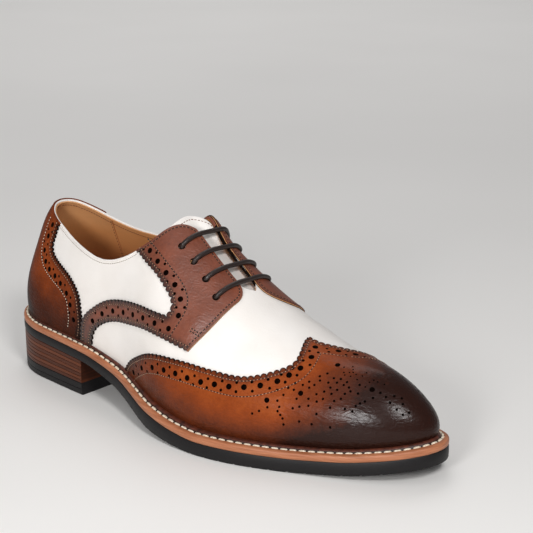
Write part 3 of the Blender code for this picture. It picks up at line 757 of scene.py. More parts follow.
def brown_calf(name, colours, rough, shine, wax, polish, depth):
    """Antiqued calf: dye rubbed in by hand, so a cloudy brown, dark and waxed where it is burnished."""
    made, tree, shader = material(name, coat_roughness=polish, specular_ior_level=shine)
    place = node(tree, "ShaderNodeTexCoord").outputs["Object"]
    cloud = node(tree, "ShaderNodeTexNoise", {"Scale": per_metre(14), "Detail": 4.0, "Roughness": 0.6},
                 {"Vector": place})
    speck = node(tree, "ShaderNodeTexNoise", {"Scale": per_metre(1.6), "Detail": 4.0, "Roughness": 0.7},
                 {"Vector": place})
    patina = node(tree, "ShaderNodeAttribute", {"attribute_name": "patina"})
    darkness = node(tree, "ShaderNodeMath", {"operation": "MULTIPLY_ADD", 1: 0.40},
                {0: cloud.outputs["Fac"], 2: patina.outputs["Fac"]})
    dusted = node(tree, "ShaderNodeMath", {"operation": "MULTIPLY_ADD", 1: 0.22},
                  {0: speck.outputs["Fac"], 2: darkness.outputs[0]})
    tone = node(tree, "ShaderNodeValToRGB", {}, {"Fac": dusted.outputs[0]})
    stops(tone, *colours)
    # Near a pinked edge the colour turns near-black: partly dark edge dye, partly painted shadow round the
    # teeth
    edge = node(tree, "ShaderNodeAttribute", {"attribute_name": "cut"})
    colour = node(tree, "ShaderNodeMix", {"data_type": "RGBA", 7: linear("#150a06")},
                  {0: edge.outputs["Fac"], 6: tone.outputs["Color"]})
    tree.links.new(colour.outputs[2], shader.inputs["Base Color"])
    gloss = node(tree, "ShaderNodeMapRange", {"To Min": rough + 0.10, "To Max": rough - 0.08},
                 {"Value": dusted.outputs[0]})
    tree.links.new(gloss.outputs["Result"], shader.inputs["Roughness"])
    polished = node(tree, "ShaderNodeMapRange",
                    {"From Min": 0.1, "From Max": 0.6, "To Min": 0.2 * wax, "To Max": wax},
                    {"Value": patina.outputs["Fac"]})
    tree.links.new(polished.outputs["Result"], shader.inputs["Coat Weight"])
    grain(tree, shader, place, 1.2, depth)
    return made


def mottled(name, size, detail, *colours, **constants):
    """A plain finish whose colour drifts between its tones, over patches of a size in millimetres."""
    made, tree, shader = material(name, **constants)
    place = node(tree, "ShaderNodeTexCoord").outputs["Object"]
    patches = node(tree, "ShaderNodeTexNoise", {"Scale": per_metre(size), "Detail": detail},
                   {"Vector": place})
    tone = node(tree, "ShaderNodeValToRGB", {}, {"Fac": patches.outputs["Fac"]})
    stops(tone, *colours)
    tree.links.new(tone.outputs["Color"], shader.inputs["Base Color"])
    return made


def white_calf():
    """White pigmented calf: even and satin, faintly warm."""
    made, tree, shader = material("white_pigmented_calf", coat_weight=0.12, coat_roughness=0.35)
    place = node(tree, "ShaderNodeTexCoord").outputs["Object"]
    cloud = node(tree, "ShaderNodeTexNoise", {"Scale": per_metre(22), "Detail": 2.0}, {"Vector": place})
    tone = node(tree, "ShaderNodeValToRGB", {}, {"Fac": cloud.outputs["Fac"]})
    stops(tone, (0.3, "#ece6e0"), (0.7, "#f3eee9"))
    tree.links.new(tone.outputs["Color"], shader.inputs["Base Color"])
    rough = node(tree, "ShaderNodeMapRange", {"To Min": 0.38, "To Max": 0.5}, {"Value": cloud.outputs["Fac"]})
    tree.links.new(rough.outputs["Result"], shader.inputs["Roughness"])
    grain(tree, shader, place, 0.9, 0.05)
    return made


def tan_lining():
    """Vegetable-tanned lining calf: pale tan, dry and soft, with painted shade darkening it deep in the shoe.
    """
    made, tree, shader = material("tan_lining_calf", roughness=0.55)
    place = node(tree, "ShaderNodeTexCoord").outputs["Object"]
    cloud = node(tree, "ShaderNodeTexNoise", {"Scale": per_metre(18), "Detail": 4.0}, {"Vector": place})
    # The depth mark is painted shade: higher values darken the lining deep in the shoe
    depth = node(tree, "ShaderNodeAttribute", {"attribute_name": "depth"})
    darkness = node(tree, "ShaderNodeMath", {"operation": "MULTIPLY_ADD", 1: 0.3},
                {0: cloud.outputs["Fac"], 2: depth.outputs["Fac"]})
    tone = node(tree, "ShaderNodeValToRGB", {}, {"Fac": darkness.outputs[0]})
    stops(tone, (0.05, "#d8a06c"), (0.35, "#c78852"), (1.0, "#985a30"))
    tree.links.new(tone.outputs["Color"], shader.inputs["Base Color"])
    grain(tree, shader, place, 0.8, 0.06)
    return made


def welt_leather():
    """Waxed welt leather: tan, with the fine layers of its cut edge along the side, painted dark in the
    channel as the shade between the stitches.
    """
    made, tree, shader = material("waxed_tan_welt", roughness=0.48)
    place = node(tree, "ShaderNodeTexCoord").outputs["Object"]
    flat = node(tree, "ShaderNodeMapping", {"Scale": (0.06, 0.06, 1.0)}, {"Vector": place})
    layers = node(tree, "ShaderNodeTexNoise", {"Scale": per_metre(0.9), "Detail": 3.0},
                  {"Vector": flat.outputs["Vector"]})
    tone = node(tree, "ShaderNodeValToRGB", {}, {"Fac": layers.outputs["Fac"]})
    stops(tone, (0.3, "#985a38"), (0.7, "#b87652"))
    # The channel mark paints shade into the stitch channel, between the stitches
    channel = node(tree, "ShaderNodeAttribute", {"attribute_name": "channel"})
    colour = node(tree, "ShaderNodeMix", {"data_type": "RGBA", 7: linear("#2a140c")},
                  {0: channel.outputs["Fac"], 6: tone.outputs["Color"]})
    tree.links.new(colour.outputs[2], shader.inputs["Base Color"])
    bump = node(tree, "ShaderNodeBump", {"Strength": 0.3, "Distance": 0.08 * MM},
                {"Height": layers.outputs["Fac"]})
    tree.links.new(bump.outputs["Normal"], shader.inputs["Normal"])
    return made


def black_rubber():
    """Moulded black rubber: dense and satin, with a fine dull texture."""
    made, tree, shader = material("moulded_black_rubber", base_color=linear("#121011"),
                                  specular_ior_level=0.3)
    place = node(tree, "ShaderNodeTexCoord").outputs["Object"]
    skin = node(tree, "ShaderNodeTexNoise", {"Scale": per_metre(1.0), "Detail": 4.0}, {"Vector": place})
    rough = node(tree, "ShaderNodeMapRange", {"To Min": 0.42, "To Max": 0.62}, {"Value": skin.outputs["Fac"]})
    tree.links.new(rough.outputs["Result"], shader.inputs["Roughness"])
    bump = node(tree, "ShaderNodeBump", {"Strength": 0.25, "Distance": 0.08 * MM},
                {"Height": skin.outputs["Fac"]})
    tree.links.new(bump.outputs["Normal"], shader.inputs["Normal"])
    return made


def stacked_leather():
    """Stacked heel leather: lifts of sole leather pressed together, stained and polished on the edge."""
    made, tree, shader = material("stacked_heel_leather", coat_weight=0.1, coat_roughness=0.3, roughness=0.45,
                                  specular_ior_level=0.15)
    place = node(tree, "ShaderNodeTexCoord").outputs["Object"]
    flat = node(tree, "ShaderNodeMapping", {"Scale": (0.03, 0.03, 1.0)}, {"Vector": place})
    fibre = node(tree, "ShaderNodeTexNoise", {"Scale": per_metre(1.1), "Detail": 4.0},
                 {"Vector": flat.outputs["Vector"]})
    lift = node(tree, "ShaderNodeAttribute", {"attribute_name": "lift"})
    mixed = node(tree, "ShaderNodeMath", {"operation": "MULTIPLY_ADD", 1: 0.45},
                 {0: fibre.outputs["Fac"], 2: lift.outputs["Fac"]})
    tone = node(tree, "ShaderNodeValToRGB", {}, {"Fac": mixed.outputs[0]})
    stops(tone, (0.05, "#2c140b"), (0.35, "#4e2614"), (0.7, "#68361d"))
    tree.links.new(tone.outputs["Color"], shader.inputs["Base Color"])
    bump = node(tree, "ShaderNodeBump", {"Strength": 0.3, "Distance": 0.1 * MM},
                {"Height": fibre.outputs["Fac"]})
    tree.links.new(bump.outputs["Normal"], shader.inputs["Normal"])
    return made


# Scale at which a wave texture makes one band a unit, and the braid's pitch and strands
WAVE_REPEAT = 0.2 * np.pi
BRAID_PITCH, BRAID_STRANDS = 2.4, 6


def waxed_cord(length):
    """Waxed cotton lace: a round braid under wax, so a dark satin with a fine slanting weave."""
    made, tree, shader = material("waxed_cotton_braid", base_color=linear("#241814"), roughness=0.36)
    pattern = node(tree, "ShaderNodeTexCoord").outputs["UV"]
    along, around = WAVE_REPEAT * length / BRAID_PITCH, WAVE_REPEAT * BRAID_STRANDS
    weave = [node(tree, "ShaderNodeTexWave", {"bands_direction": "DIAGONAL", "Scale": 1.0},
                  {"Vector": node(tree, "ShaderNodeMapping", {"Scale": (along, lean * around, 1.0)},
                                  {"Vector": pattern}).outputs["Vector"]}) for lean in (1.0, -1.0)]
    braid = node(tree, "ShaderNodeMath", {"operation": "MAXIMUM"},
                 {0: weave[0].outputs["Fac"], 1: weave[1].outputs["Fac"]})
    bump = node(tree, "ShaderNodeBump", {"Strength": 0.35, "Distance": 0.12 * MM},
                {"Height": braid.outputs[0]})
    tree.links.new(bump.outputs["Normal"], shader.inputs["Normal"])
    return made


def thread(name, dark, light):
    """Twisted sewing thread: matt, lighter where the twist stands up."""
    return mottled(name, 0.7, 2.0, (0.35, dark), (0.65, light), roughness=0.65)


ANTIQUED = (0.12, "#b05a26"), (0.45, "#853b15"), (0.75, "#512310"), (1.0, "#250f08")
FACING_TONES = (0.12, "#944a2b"), (0.45, "#72361d"), (0.75, "#401c10"), (1.0, "#180a06")
BROWN = brown_calf("waxed_brown_toe_calf", ANTIQUED,
                   rough=0.46, shine=0.06, wax=0.34, polish=0.22, depth=0.28)
COUNTER_BROWN = brown_calf("antiqued_brown_counter_calf", ANTIQUED,
                           rough=0.50, shine=0.06, wax=0.0, polish=0.3, depth=0.28)
FACING_BROWN = brown_calf("smooth_brown_facing_calf", FACING_TONES,
                          rough=0.43, shine=0.8, wax=0.0, polish=0.4, depth=0.2)
# Raw edge of dyed calf: dark, matt and fibrous, and near-black so that it also paints the shade on the
# punched holes' walls and the shadow lines under the facings' edges
RAW_EDGE_AND_SHADE = mottled("raw_edge_and_painted_shade", 0.8, 3.0, (0.3, "#080402"), (0.75, "#1a0c06"), roughness=0.9,
                   specular_ior_level=0.1)
# Painted shade inside the punched holes, on the hole beds and on the upper under the overlays: dead matt and
# nearly black
HOLE_SHADE = mottled("painted_hole_shade", 0.6, 3.0, (0.3, "#070403"), (0.75, "#140a07"), roughness=1.0,
                     specular_ior_level=0.0)
# Waxed rand leather: a thin dark red-brown strip, satin, between upper and welt
RAND = mottled("waxed_dark_rand", 3.0, 3.0, (0.3, "#32140c"), (0.7, "#64301f"), roughness=0.5)
# Painted studio floor: pale, matt and plain
PALE_FLOOR = mottled("painted_studio_floor", 400, 2.0, (0.3, "#f1efec"), (0.7, "#f6f4f1"), roughness=0.55)
WHITE = white_calf()
TAN = tan_lining()
WELT = welt_leather()
RUBBER = black_rubber()
STACK = stacked_leather()
CREAM_THREAD = thread("cream_linen_thread", "#cbb79d", "#efe3d1")
BROWN_THREAD = thread("brown_waxed_thread", "#8a5c42", "#c09a7c")
DARK_THREAD = thread("dark_waxed_thread", "#0f0806", "#24130d")
GREY_THREAD = thread("pale_grey_thread", "#8f847a", "#b3a89d")
TAN_THREAD = thread("tan_waxed_thread", "#5e3218", "#8a5330")


def read(owner, name, width, kind=np.float32):
    """One property of all the items of a mesh, as an array."""
    values = np.zeros(len(owner) * width, kind)
    owner.foreach_get(name, values)
    return values.reshape(-1, width) if width > 1 else values


def lay_normals(piece):
    """Shade a panel's two faces as smoothly as the last under them, and its cut edges flat."""
    mesh = piece.data
    mesh.shade_smooth()
    q, share = (read(mesh.attributes[name].data, "value", 1).astype(float) for name in ("place", "girth"))
    way = outward(q, share, lambda at, part: outside(at, part, OVERLAY_TOP))
    way = way[read(mesh.loops, "vertex_index", 1, int)]
    flat = np.repeat(read(mesh.polygons, "normal", 3), read(mesh.polygons, "loop_total", 1, int), axis=0)
    turn = (way * flat).sum(1)[:, None]
    mesh.normals_split_custom_set(np.where(turn > 0.5, way, np.where(turn < -0.5, -way, flat)).tolist())
    for name in ("place", "girth"):
        mesh.attributes.remove(mesh.attributes[name])


def face_out(piece):
    """Turn an open skin so that its faces look away from the middle of the foot."""
    mesh = piece.data
    away = sum((face.center - Vector((0, 0, 0.04))).dot(face.normal) * face.area for face in mesh.polygons)
    if away < 0:
        mesh.flip_normals()


def make_hole_beds(name, holes):
    """Painted shade at the bottom of each punched hole: one thin near-black disc a hole."""
    faces, start = [], 0
    for loop in holes:
        faces.append(tuple(range(start, start + len(loop[0]))))
        start += len(loop[0])
    piece = new_piece(name, outside(*joined(*holes), HOLE_BED), faces)
    face_out(piece)
    apply(piece, "SOLIDIFY", thickness=HOLE_BED_THICKNESS * MM, offset=-1.0)
    finish(piece, (HOLE_SHADE,))


def inner_ring(outline, plane):
    """Places just inside a panel's outline, where its darkened band of edge dye and painted shadow ends."""
    q, share = outline
    points = last(q, share)
    across = unit(np.cross(outward(q, share), np.roll(points, -1, axis=0) - np.roll(points, 1, axis=0)))
    q, share = joined(*(settle(q, share, points + across * way) for way in (CUT_RING, -CUT_RING)))
    keep = within(plane(q, share), plane(*outline)) & (clearance(last(q, share), points) > 0.7 * CUT_RING)
    return q[keep], share[keep]


def panel(name, outline, raw, punched, eyelets, plane, span, spacing, patina, materials, replaced):
    """An overlay cut from its flat pattern, holes and all, laid on the last and given its thickness."""
    punched = [loop for loop in punched if within(plane(*loop), plane(*outline)).all()]
    make_hole_beds(replaced[0] + "_hole_shade_discs", punched)
    holes = punched + eyelets
    loops = [outline, *holes]
    q, share = joined(*loops)
    owner = np.repeat(np.arange(len(loops)), [len(loop[0]) for loop in loops])
    edges, start = [], 0
    for loop in loops:
        count = len(loop[0])
        edges += [(start + i, start + (i + 1) % count) for i in range(count)]
        start += count
    ring = inner_ring(outline, plane)
    cut_line = plane(q, share)
    fill_q, fill_share = filling(*span, spacing)
    fill = plane(fill_q, fill_share)
    keep = within(fill, plane(*outline))
    keep[keep] = clearance(fill[keep], np.concatenate([cut_line, plane(*ring)])) > 0.35 * spacing
    fill_q, fill_share = joined(ring, (fill_q[keep], fill_share[keep]))
    fill = plane(fill_q, fill_share)
    keep = np.ones(len(fill), bool)
    for loop in holes:
        keep &= ~within(fill, plane(*loop))
    q, share = joined((q, share), (fill_q[keep], fill_share[keep]))
    owner = np.concatenate([owner, np.zeros(keep.sum(), int)])
    flat = np.concatenate([cut_line, fill[keep]])
    cut = delaunay_2d_cdt([Vector(point) for point in flat], edges, [], 1, 1e-4)
    source = np.array([found[0] if found else -1 for found in cut[3]])
    faces = []
    for face in cut[2]:
        owners = set(owner[source[i]] for i in face)
        if min(source[i] for i in face) >= 0 and (len(owners) > 1 or 0 in owners):
            faces.append(face)
    q, share = q[source], share[source]
    edge = clearance(last(q, share), last(*raw))
    piece = new_piece(name, outside(q, share, OVERLAY_TOP), faces)
    mark(piece, "patina", patina(q, share, edge))
    # Darkened band along the pinked edges: partly dark edge dye, partly painted shadow between and under the
    # teeth
    mark(piece, "cut", 1 - ramp(edge, 0.2, 1.1))
    mark(piece, "place", q)
    mark(piece, "girth", share)
    merge(piece, 0.001)
    face_out(piece)
    for leather in materials:
        piece.data.materials.append(leather)
    apply(piece, "SOLIDIFY", thickness=(OVERLAY_TOP - OVERLAY_UNDER) * MM, offset=-1.0,
          material_offset_rim=1, use_quality_normals=True)
    lay_normals(piece)
    return finish(piece, (), replaced)


def inset_rows(lines, side, distance):
    """A panel's edge moved inwards, clear of the whole edge: a line for each side of the ridge it reaches."""
    q, share = lines[side]
    moved_q, moved_share = settle(q, share, last(q, share) + sideways(q, share) * side * distance)
    clear = clearance(last(moved_q, moved_share), last(*joined(*lines.values()))) > 0.92 * distance
    halves = [clear & (np.sign(moved_q) == half) & (moved_share < RIDGE_LIMIT)
              for half in (OUTER, INNER)]
    return [even(moved_q[half], moved_share[half], LINE_STEP) for half in halves if half.sum() > 4]


def seam_run(first, final):
    """The welt's seam between two places round the shoe, at the hem of the overlays."""
    q, share = even(np.linspace(first, final, 600), np.full(600, HEM), 1.2)
    return wrap(q)[1:-1], share[1:-1]


def opened(*lines):
    """Lines one after the other, each without its last place, to close into a loop."""
    return joined(*(tuple(column[:-1] for column in path) for path in lines))


def reverse(path):
    """A line run the other way."""
    return tuple(column[::-1] for column in path)


wing_lines = {side: line(WING_EDGE[side], side) for side in (OUTER, INNER)}
counter_lines = {side: line(COUNTER_EDGE, side) for side in (OUTER, INNER)}


def strip(edge):
    """The darker strip of dye between a pinked edge and its first row of stitches."""
    return 1 - ramp(edge, 1.9, 3.1)


def wing_patina(q, share, edge):
    """Burnished dark at the toe, darker along the welt and the cut edge."""
    points = last(q, share)
    toe = ramp(points[:, 0] + 0.35 * (60 - points[:, 2]), 228, 290)
    welt = 0.36 * (1 - ramp(share, 0.0, 0.26))
    return np.clip(0.08 + 0.72 * toe + welt + 0.22 * strip(edge), 0, 1)


def facing_patina(q, share, edge):
    """Even over the facing, darker along the band's cut edges and towards the welt."""
    return np.clip(0.14 + 0.24 * strip(edge) + 0.22 * (1 - ramp(share, 0.0, 0.2)), 0, 1)


def counter_patina(q, share, edge):
    """Darker round the back and towards the welt."""
    back = 0.40 * (1 - ramp(np.abs(q), 0.05, 0.24))
    welt = 0.46 * (1 - ramp(share, 0.0, 0.34))
    return np.clip(0.12 + back + welt + 0.2 * strip(edge), 0, 1)


def make_wing_cap():
    """Wing-tip toe cap with pinked edge, a row of brogueing and the medallion on the toe."""
    first = float(place_of(WING_SIDE[0][0]))
    raw = opened(pinked(wing_lines[OUTER], True), pinked(reverse(wing_lines[INNER]), True))
    outline = joined(raw, seam_run(first, 2 - first))
    medallion = ((MEDALLION_LARGE, MEDALLION_HOLE, LARGE_CORNERS),
                 (MEDALLION_SMALL, MEDALLION_DOT, SMALL_CORNERS), (MEDALLION_PIN, PIN_HOLE, PIN_CORNERS))
    holes = []
    for side in (OUTER, INNER):
        holes += placed_holes(WING_HOLES[side], side)
        for rows, radius, corners in medallion:
            holes += rings(*spots(rows, side), radius, corners)
    holes += rings(*spots(PEAK_SMALL_HOLES, OUTER), SMALL_HOLE, SMALL_CORNERS)
    panel("wing_cap_calf", outline, raw, holes, [], toe_plane, (first, 2 - first), 2.0, wing_patina,
          (BROWN, RAW_EDGE_AND_SHADE), ("wing_cap",))
    return outline


def make_facing(side, name, replaced):
    """Facing with four eyelets, and the perforated band that runs back from it to the welt."""
    left = side == OUTER
    lower, upper, window = (pinked(line(rows, side), left) for rows in (BAND_LOWER, BAND_UPPER, WINDOW_EDGE))
    outline = joined(opened(line(FACING_TOP[side], side, 1.0), line(FACING_FRONT[side], side, 1.0), lower),
                     seam_run(side * float(place_of(BAND_LOWER[-1][0])),
                              side * float(place_of(BAND_UPPER[0][0]))), opened(upper, window))
    holes = (brogue_holes(line(BAND_HOLES, side), BAND_PITCH)
             + brogue_holes(line(WINDOW_HOLES, side), WINDOW_PITCH))
    eyelets = rings(*spots(EYELETS[side], side), EYELET_RADIUS, EYELET_CORNERS)
    span = sorted((side * float(place_of(68)), side * float(place_of(198))))
    panel(name, outline, joined(lower, upper, window), holes, eyelets, wall_plane, span, 2.0, facing_patina,
          (FACING_BROWN, RAW_EDGE_AND_SHADE), (replaced,))
    return outline


def make_counter():
    """Heel counter with pinked front edges, up to the collar's rim."""
    first, top = float(place_of(COUNTER_EDGE[0][0])), float(place_of(COUNTER_EDGE[-1][0]))
    q = np.linspace(-top, top, 90)
    crest = q, collar_share(q)
    fronts = counter_lines[OUTER], reverse(counter_lines[INNER])
    raw = [pinked(path, False, COUNTER_TOOTH_PITCH) for path in fronts]
    outline = joined(opened(raw[0], crest, raw[1]), seam_run(first, -first))
    holes = [hole for side in (OUTER, INNER) for hole in placed_holes(COUNTER_HOLES, side)]
    panel("heel_counter_calf", outline, joined(*raw), holes, [], wall_plane, (-place_of(84), place_of(84)),
          2.2, counter_patina, (COUNTER_BROWN, RAW_EDGE_AND_SHADE), ("heel_counter",))
    return outline


def drop_faces(piece, centres, reach):
    """Cut the faces away within a reach of some points in shoe millimetres."""
    centres = (np.asarray(centres) + SHIFT) * MM
    choose(piece)
    bpy.ops.object.mode_set(mode="EDIT")
    bpy.ops.mesh.select_mode(type="FACE")
    bpy.ops.mesh.select_all(action="DESELECT")
    bpy.ops.object.mode_set(mode="OBJECT")
    for face in piece.data.polygons:
        face.select = bool((np.linalg.norm(centres - np.array(face.center), axis=1) < reach * MM).any())
    bpy.ops.object.mode_set(mode="EDIT")
    bpy.ops.mesh.delete(type="FACE")
    bpy.ops.mesh.select_mode(type="VERT")
    bpy.ops.object.mode_set(mode="OBJECT")


def upper_skin(name, height, lowered, columns, rows):
    """A hollow leather wall over the whole last, open at collar and throat, laid as a grid at a height over
    it.
    """
    q = np.linspace(-1, 1, columns)
    share = np.linspace(0, 1, rows)[:, None] * (collar_share(q) - lowered)
    q, share = np.broadcast_arrays(q, share)
    piece = laid_grid(name, outside(q, share, np.full(q.shape, height)))
    return piece, q, share


def make_upper(outlines):
    """White vamp and quarters in one wall, painted near-black under the overlays as the shade that only their
    holes show.
    """
    piece, q, share = upper_skin("white_upper_calf", UPPER_TOP, 0.0, 521, 57)
    q, share = q.reshape(-1), share.reshape(-1)
    covered = np.zeros(q.size)
    for outline, plane in outlines:
        hidden = within(plane(q, share), plane(*outline))
        depth = clearance(last(q[hidden], share[hidden]), last(*outline))
        covered[hidden] = np.maximum(covered[hidden], depth)
    mark(piece, "covered", covered)
    close_upper(piece, UPPER_TOP - UPPER_UNDER)
    depth = read(piece.data.attributes["covered"].data, "value", 1)
    finish(piece, (WHITE, HOLE_SHADE), ("upper",))
    # Faces deep under the overlays take the near-black painted hole shade
    for face in piece.data.polygons:
        face.material_index = int(min(depth[i] for i in face.vertices) > 0.8)
    piece.data.attributes.remove(piece.data.attributes["covered"])


def close_upper(piece, thickness):
    """Weld a wall's two halves, cut its eyelets, turn it outwards and thicken it."""
    merge(piece)
    centres = [last(*spots(EYELETS[side], side)) for side in (OUTER, INNER)]
    drop_faces(piece, np.concatenate(centres), EYELET_OPENING)
    face_out(piece)
    apply(piece, "SOLIDIFY", thickness=thickness * MM, offset=-1.0)
    soften(piece, 50)


def make_lining():
    """Tan calf lining inside the upper, with painted shade that darkens it deep in the shoe."""
    piece, q, share = upper_skin("tan_lining_calf", LINING_TOP, 0.003, 321, 37)
    # Painted shade deep in the shoe: full low down, gone by mid height
    mark(piece, "depth", (1 - ramp(share, 0.10, 0.55)).reshape(-1))
    close_upper(piece, LINING_TOP - LINING_UNDER)
    finish(piece, (TAN,))


# The tongue's top edge: how far across it (-1 outside, 1 inside), station, height over the last
TONGUE_EDGE = (
    (-1.0, 130.0, -3.5), (-0.70, 131.3, -3.5), (-0.50, 132.9, -3.5), (-0.29, 133.9, -3.5),
    (-0.04, 134.4, -3.3), (0.12, 135.4, -3.0), (0.29, 138.0, -2.4), (0.44, 141.2, -2.6),
    (0.59, 144.2, -3.2), (0.80, 147.0, -3.6), (1.0, 149.0, -3.7),
)
TONGUE_END, TONGUE_REACH = 192.0, 0.66
TONGUE_THICKNESS, TONGUE_DEPTH, TONGUE_SLOPE = 1.8, 4.9, 13.0
TONGUE_TOP_STATION, TONGUE_TOP_HEIGHT = steady(TONGUE_EDGE, 1), steady(TONGUE_EDGE, 2)


def tongue_place(across, down):
    """Place and point of the tongue's outside, a distance down from its top edge."""
    station = TONGUE_TOP_STATION(across) + down
    q = np.where(across < 0, -1, 1) * place_of(station)
    share = np.broadcast_to(1 - (1 - TONGUE_REACH) * np.abs(across), q.shape)
    sink = ramp(down, 0, TONGUE_SLOPE)
    height = TONGUE_TOP_HEIGHT(across) * (1 - sink) - TONGUE_DEPTH * sink
    return q, share, outside(q, share, height)


def make_tongue():
    """White tongue under the facings, with a wide rounded top that opens to the inside."""
    across = np.linspace(-1, 1, 49)
    down = np.linspace(0, 1, 45)[:, None] * (TONGUE_END - TONGUE_TOP_STATION(across))
    _, _, points = tongue_place(np.broadcast_to(across, down.shape), down)
    piece = laid_grid("white_tongue_calf", points)
    merge(piece)
    face_out(piece)
    apply(piece, "SOLIDIFY", thickness=TONGUE_THICKNESS * MM, offset=-1.0)
    apply(piece, "BEVEL", width=0.5 * MM, segments=2, limit_method="ANGLE", angle_limit=np.radians(50))
    soften(piece)
    finish(piece, (WHITE,), ("tongue",))


# The sock's distance inside the seam, thickness, and the rise of its edges over its middle
SOCK_INSET, SOCK_THICKNESS, SOCK_DISH = 2.6, 4.0, 1.2


def make_sock():
    """Insole under a tan sock, a little dished for the foot."""
    p = np.linspace(0, 1, 121)
    v = np.linspace(-1, 1, 25)[:, None]
    s = station_of(p)
    inset = INSET(s) + SOCK_INSET
    outer, inner = edge_inset(-p, inset), edge_inset(p, inset)
    x = outer[0] + (inner[0] - outer[0]) * (v + 1) / 2
    y = outer[1] + (inner[1] - outer[1]) * (v + 1) / 2
    z = seat_height(s) + INSOLE_RISE + SOCK_DISH * (np.abs(v) ** 3 - 0.5)
    piece = laid_grid("tan_sock_and_insole", np.stack([x, y, np.broadcast_to(z, x.shape)], -1))
    merge(piece)
    if sum(face.normal.z * face.area for face in piece.data.polygons) < 0:
        piece.data.flip_normals()
    apply(piece, "SOLIDIFY", thickness=SOCK_THICKNESS * MM, offset=-1.0)
    soften(piece)
    finish(piece, (TAN,), ("insole",))


def cap_ends(piece):
    """Close the open rings at the ends of a piece and turn its faces out."""
    choose(piece)
    bpy.ops.object.mode_set(mode="EDIT")
    bpy.ops.mesh.select_all(action="DESELECT")
    bpy.ops.mesh.select_non_manifold(extend=False, use_wire=False, use_multi_face=False,
                                     use_non_contiguous=False, use_verts=False)
    bpy.ops.mesh.edge_face_add()
    bpy.ops.mesh.select_all(action="SELECT")
    bpy.ops.mesh.normals_make_consistent(inside=False)
    bpy.ops.object.mode_set(mode="OBJECT")


def sole_slab(name, p, profile, values=None):
    """A slab with the sole's outline; profile rows give inset and height at each place, bottom to top."""
    outer = [(*edge_inset(-p, inset), height) for inset, height in profile]
    inner = [(*edge_inset(p, inset), height) for inset, height in reversed(profile)]
    ring = outer + inner + outer[:1]
    points = np.stack([np.stack(np.broadcast_arrays(*row), -1) for row in ring])
    piece = laid_grid(name, points)
    if values is not None:
        order = list(values) + list(reversed(values)) + [values[0]]
        mark(piece, "lift", np.repeat(np.array(order), len(p)))
    merge(piece)
    return piece


# Stations of the tread's grooves, their depth, and half their width at the floor of the groove and at its top
TREAD = np.arange(166, 292, 9.0)
GROOVE_DEPTH, GROOVE_FLOOR, GROOVE_TOP = 0.7, 0.5, 0.8


def make_outsole():
    """Black rubber outsole with rounded edges and fine tread grooves that nick its lower edge."""
    grooves = TREAD[:, None] + np.array([-GROOVE_TOP, -GROOVE_FLOOR, GROOVE_FLOOR, GROOVE_TOP])
    p = np.sort(np.concatenate([np.linspace(0, 1, 131), place_of(grooves.reshape(-1))]))
    s = station_of(p)
    away = np.abs(s[:, None] - TREAD).min(1)
    depth = GROOVE_DEPTH * np.clip((GROOVE_TOP - away) / (GROOVE_TOP - GROOVE_FLOOR), 0, 1)
    under, thick = UNDERSIDE(s), SOLE_THICKNESS(s)
    profile = [(0.9, under + depth), (0.32, under + 0.3 + 0.35 * depth), (0.08, under + 1.0),
               (0.0, under + 0.5 * thick), (0.05, under + thick - 0.7), (0.5, under + thick)]
    piece = sole_slab("black_rubber_outsole", p, profile)
    soften(piece, 40)
    finish(piece, (RUBBER,), ("outsole",))


# Tone of each lift of the heel, from the floor up, and of the dark joints between them
LIFT_TONES, JOINT_TONE = (0.12, 0.34, 0.06, 0.30, 0.14, 0.38, 0.10), -0.1


def make_heel():
    """Heel of pressed leather lifts on a black top lift."""
    p = np.linspace(0, float(place_of(HEEL_BREAST)), 70)
    low, top = TOP_LIFT + 0.05, UNDERSIDE(station_of(p)) + 0.05
    profile, values = [], []
    for k, tone in enumerate(LIFT_TONES):
        floor, ceiling = (low + (top - low) * share / len(LIFT_TONES) for share in (k, k + 1))
        profile += [(0.55, floor + 0.02), (0.3, floor + 0.25), (0.3, ceiling - 0.25)]
        values += [JOINT_TONE, tone, tone]
    profile.append((0.55, top))
    values.append(JOINT_TONE)
    stack = sole_slab("stacked_leather_heel", p, profile, values)
    cap_ends(stack)
    soften(stack, 40)
    finish(stack, (STACK,), ("heel_stack",))
    flat = np.zeros(len(p))
    lift = sole_slab("black_rubber_top_lift", p, [
        (1.0, flat), (0.5, flat + 0.4), (0.4, flat + 3.4), (0.75, flat + 3.6), (0.4, flat + 3.8),
        (0.35, flat + TOP_LIFT - 0.4), (0.7, flat + TOP_LIFT)])
    cap_ends(lift)
    soften(lift, 40)
    finish(lift, (RUBBER,), ("heel_top_lift",))


def stitch_inset(station):
    """Distance of the welt's stitches from the edge of the sole."""
    return 2.2 + 0.35 * (INSET(station) - 4.5)


def make_welt():
    """Welt with rounded edges and a shallow channel that the stitches lie in."""
    q = np.linspace(-1, 1, 281)
    s = station_of(q)
    base, inner, row = seat_height(s) - WELT_THICKNESS - 0.25, INSET(s) + 3.0, stitch_inset(s)
    profile = [(inner, 0.0), (0.5, 0.0), (0.12, 0.4), (0.0, 1.5), (0.02, 2.6), (0.2, 3.25), (0.6, 3.65),
               (1.1, 3.8), (row - 0.9, 4.0), (row - 0.5, 3.6), (row + 0.5, 3.6), (row + 1.0, 4.25),
               (inner, 4.25), (inner, 0.0)]
    points = [np.stack(np.broadcast_arrays(*edge_inset(q, inset), base + height), -1)
              for inset, height in profile]
    piece = laid_grid("tan_welt_leather", np.stack(points))
    # Painted shade in the stitch channel
    channel_shade_rows = [float(9 <= k <= 11) for k in range(len(profile))]
    mark(piece, "channel", np.repeat(channel_shade_rows, len(q)))
    merge(piece)
    soften(piece, 50)
    finish(piece, (WELT,), ("welt",))


TUBE_CORNERS = 12


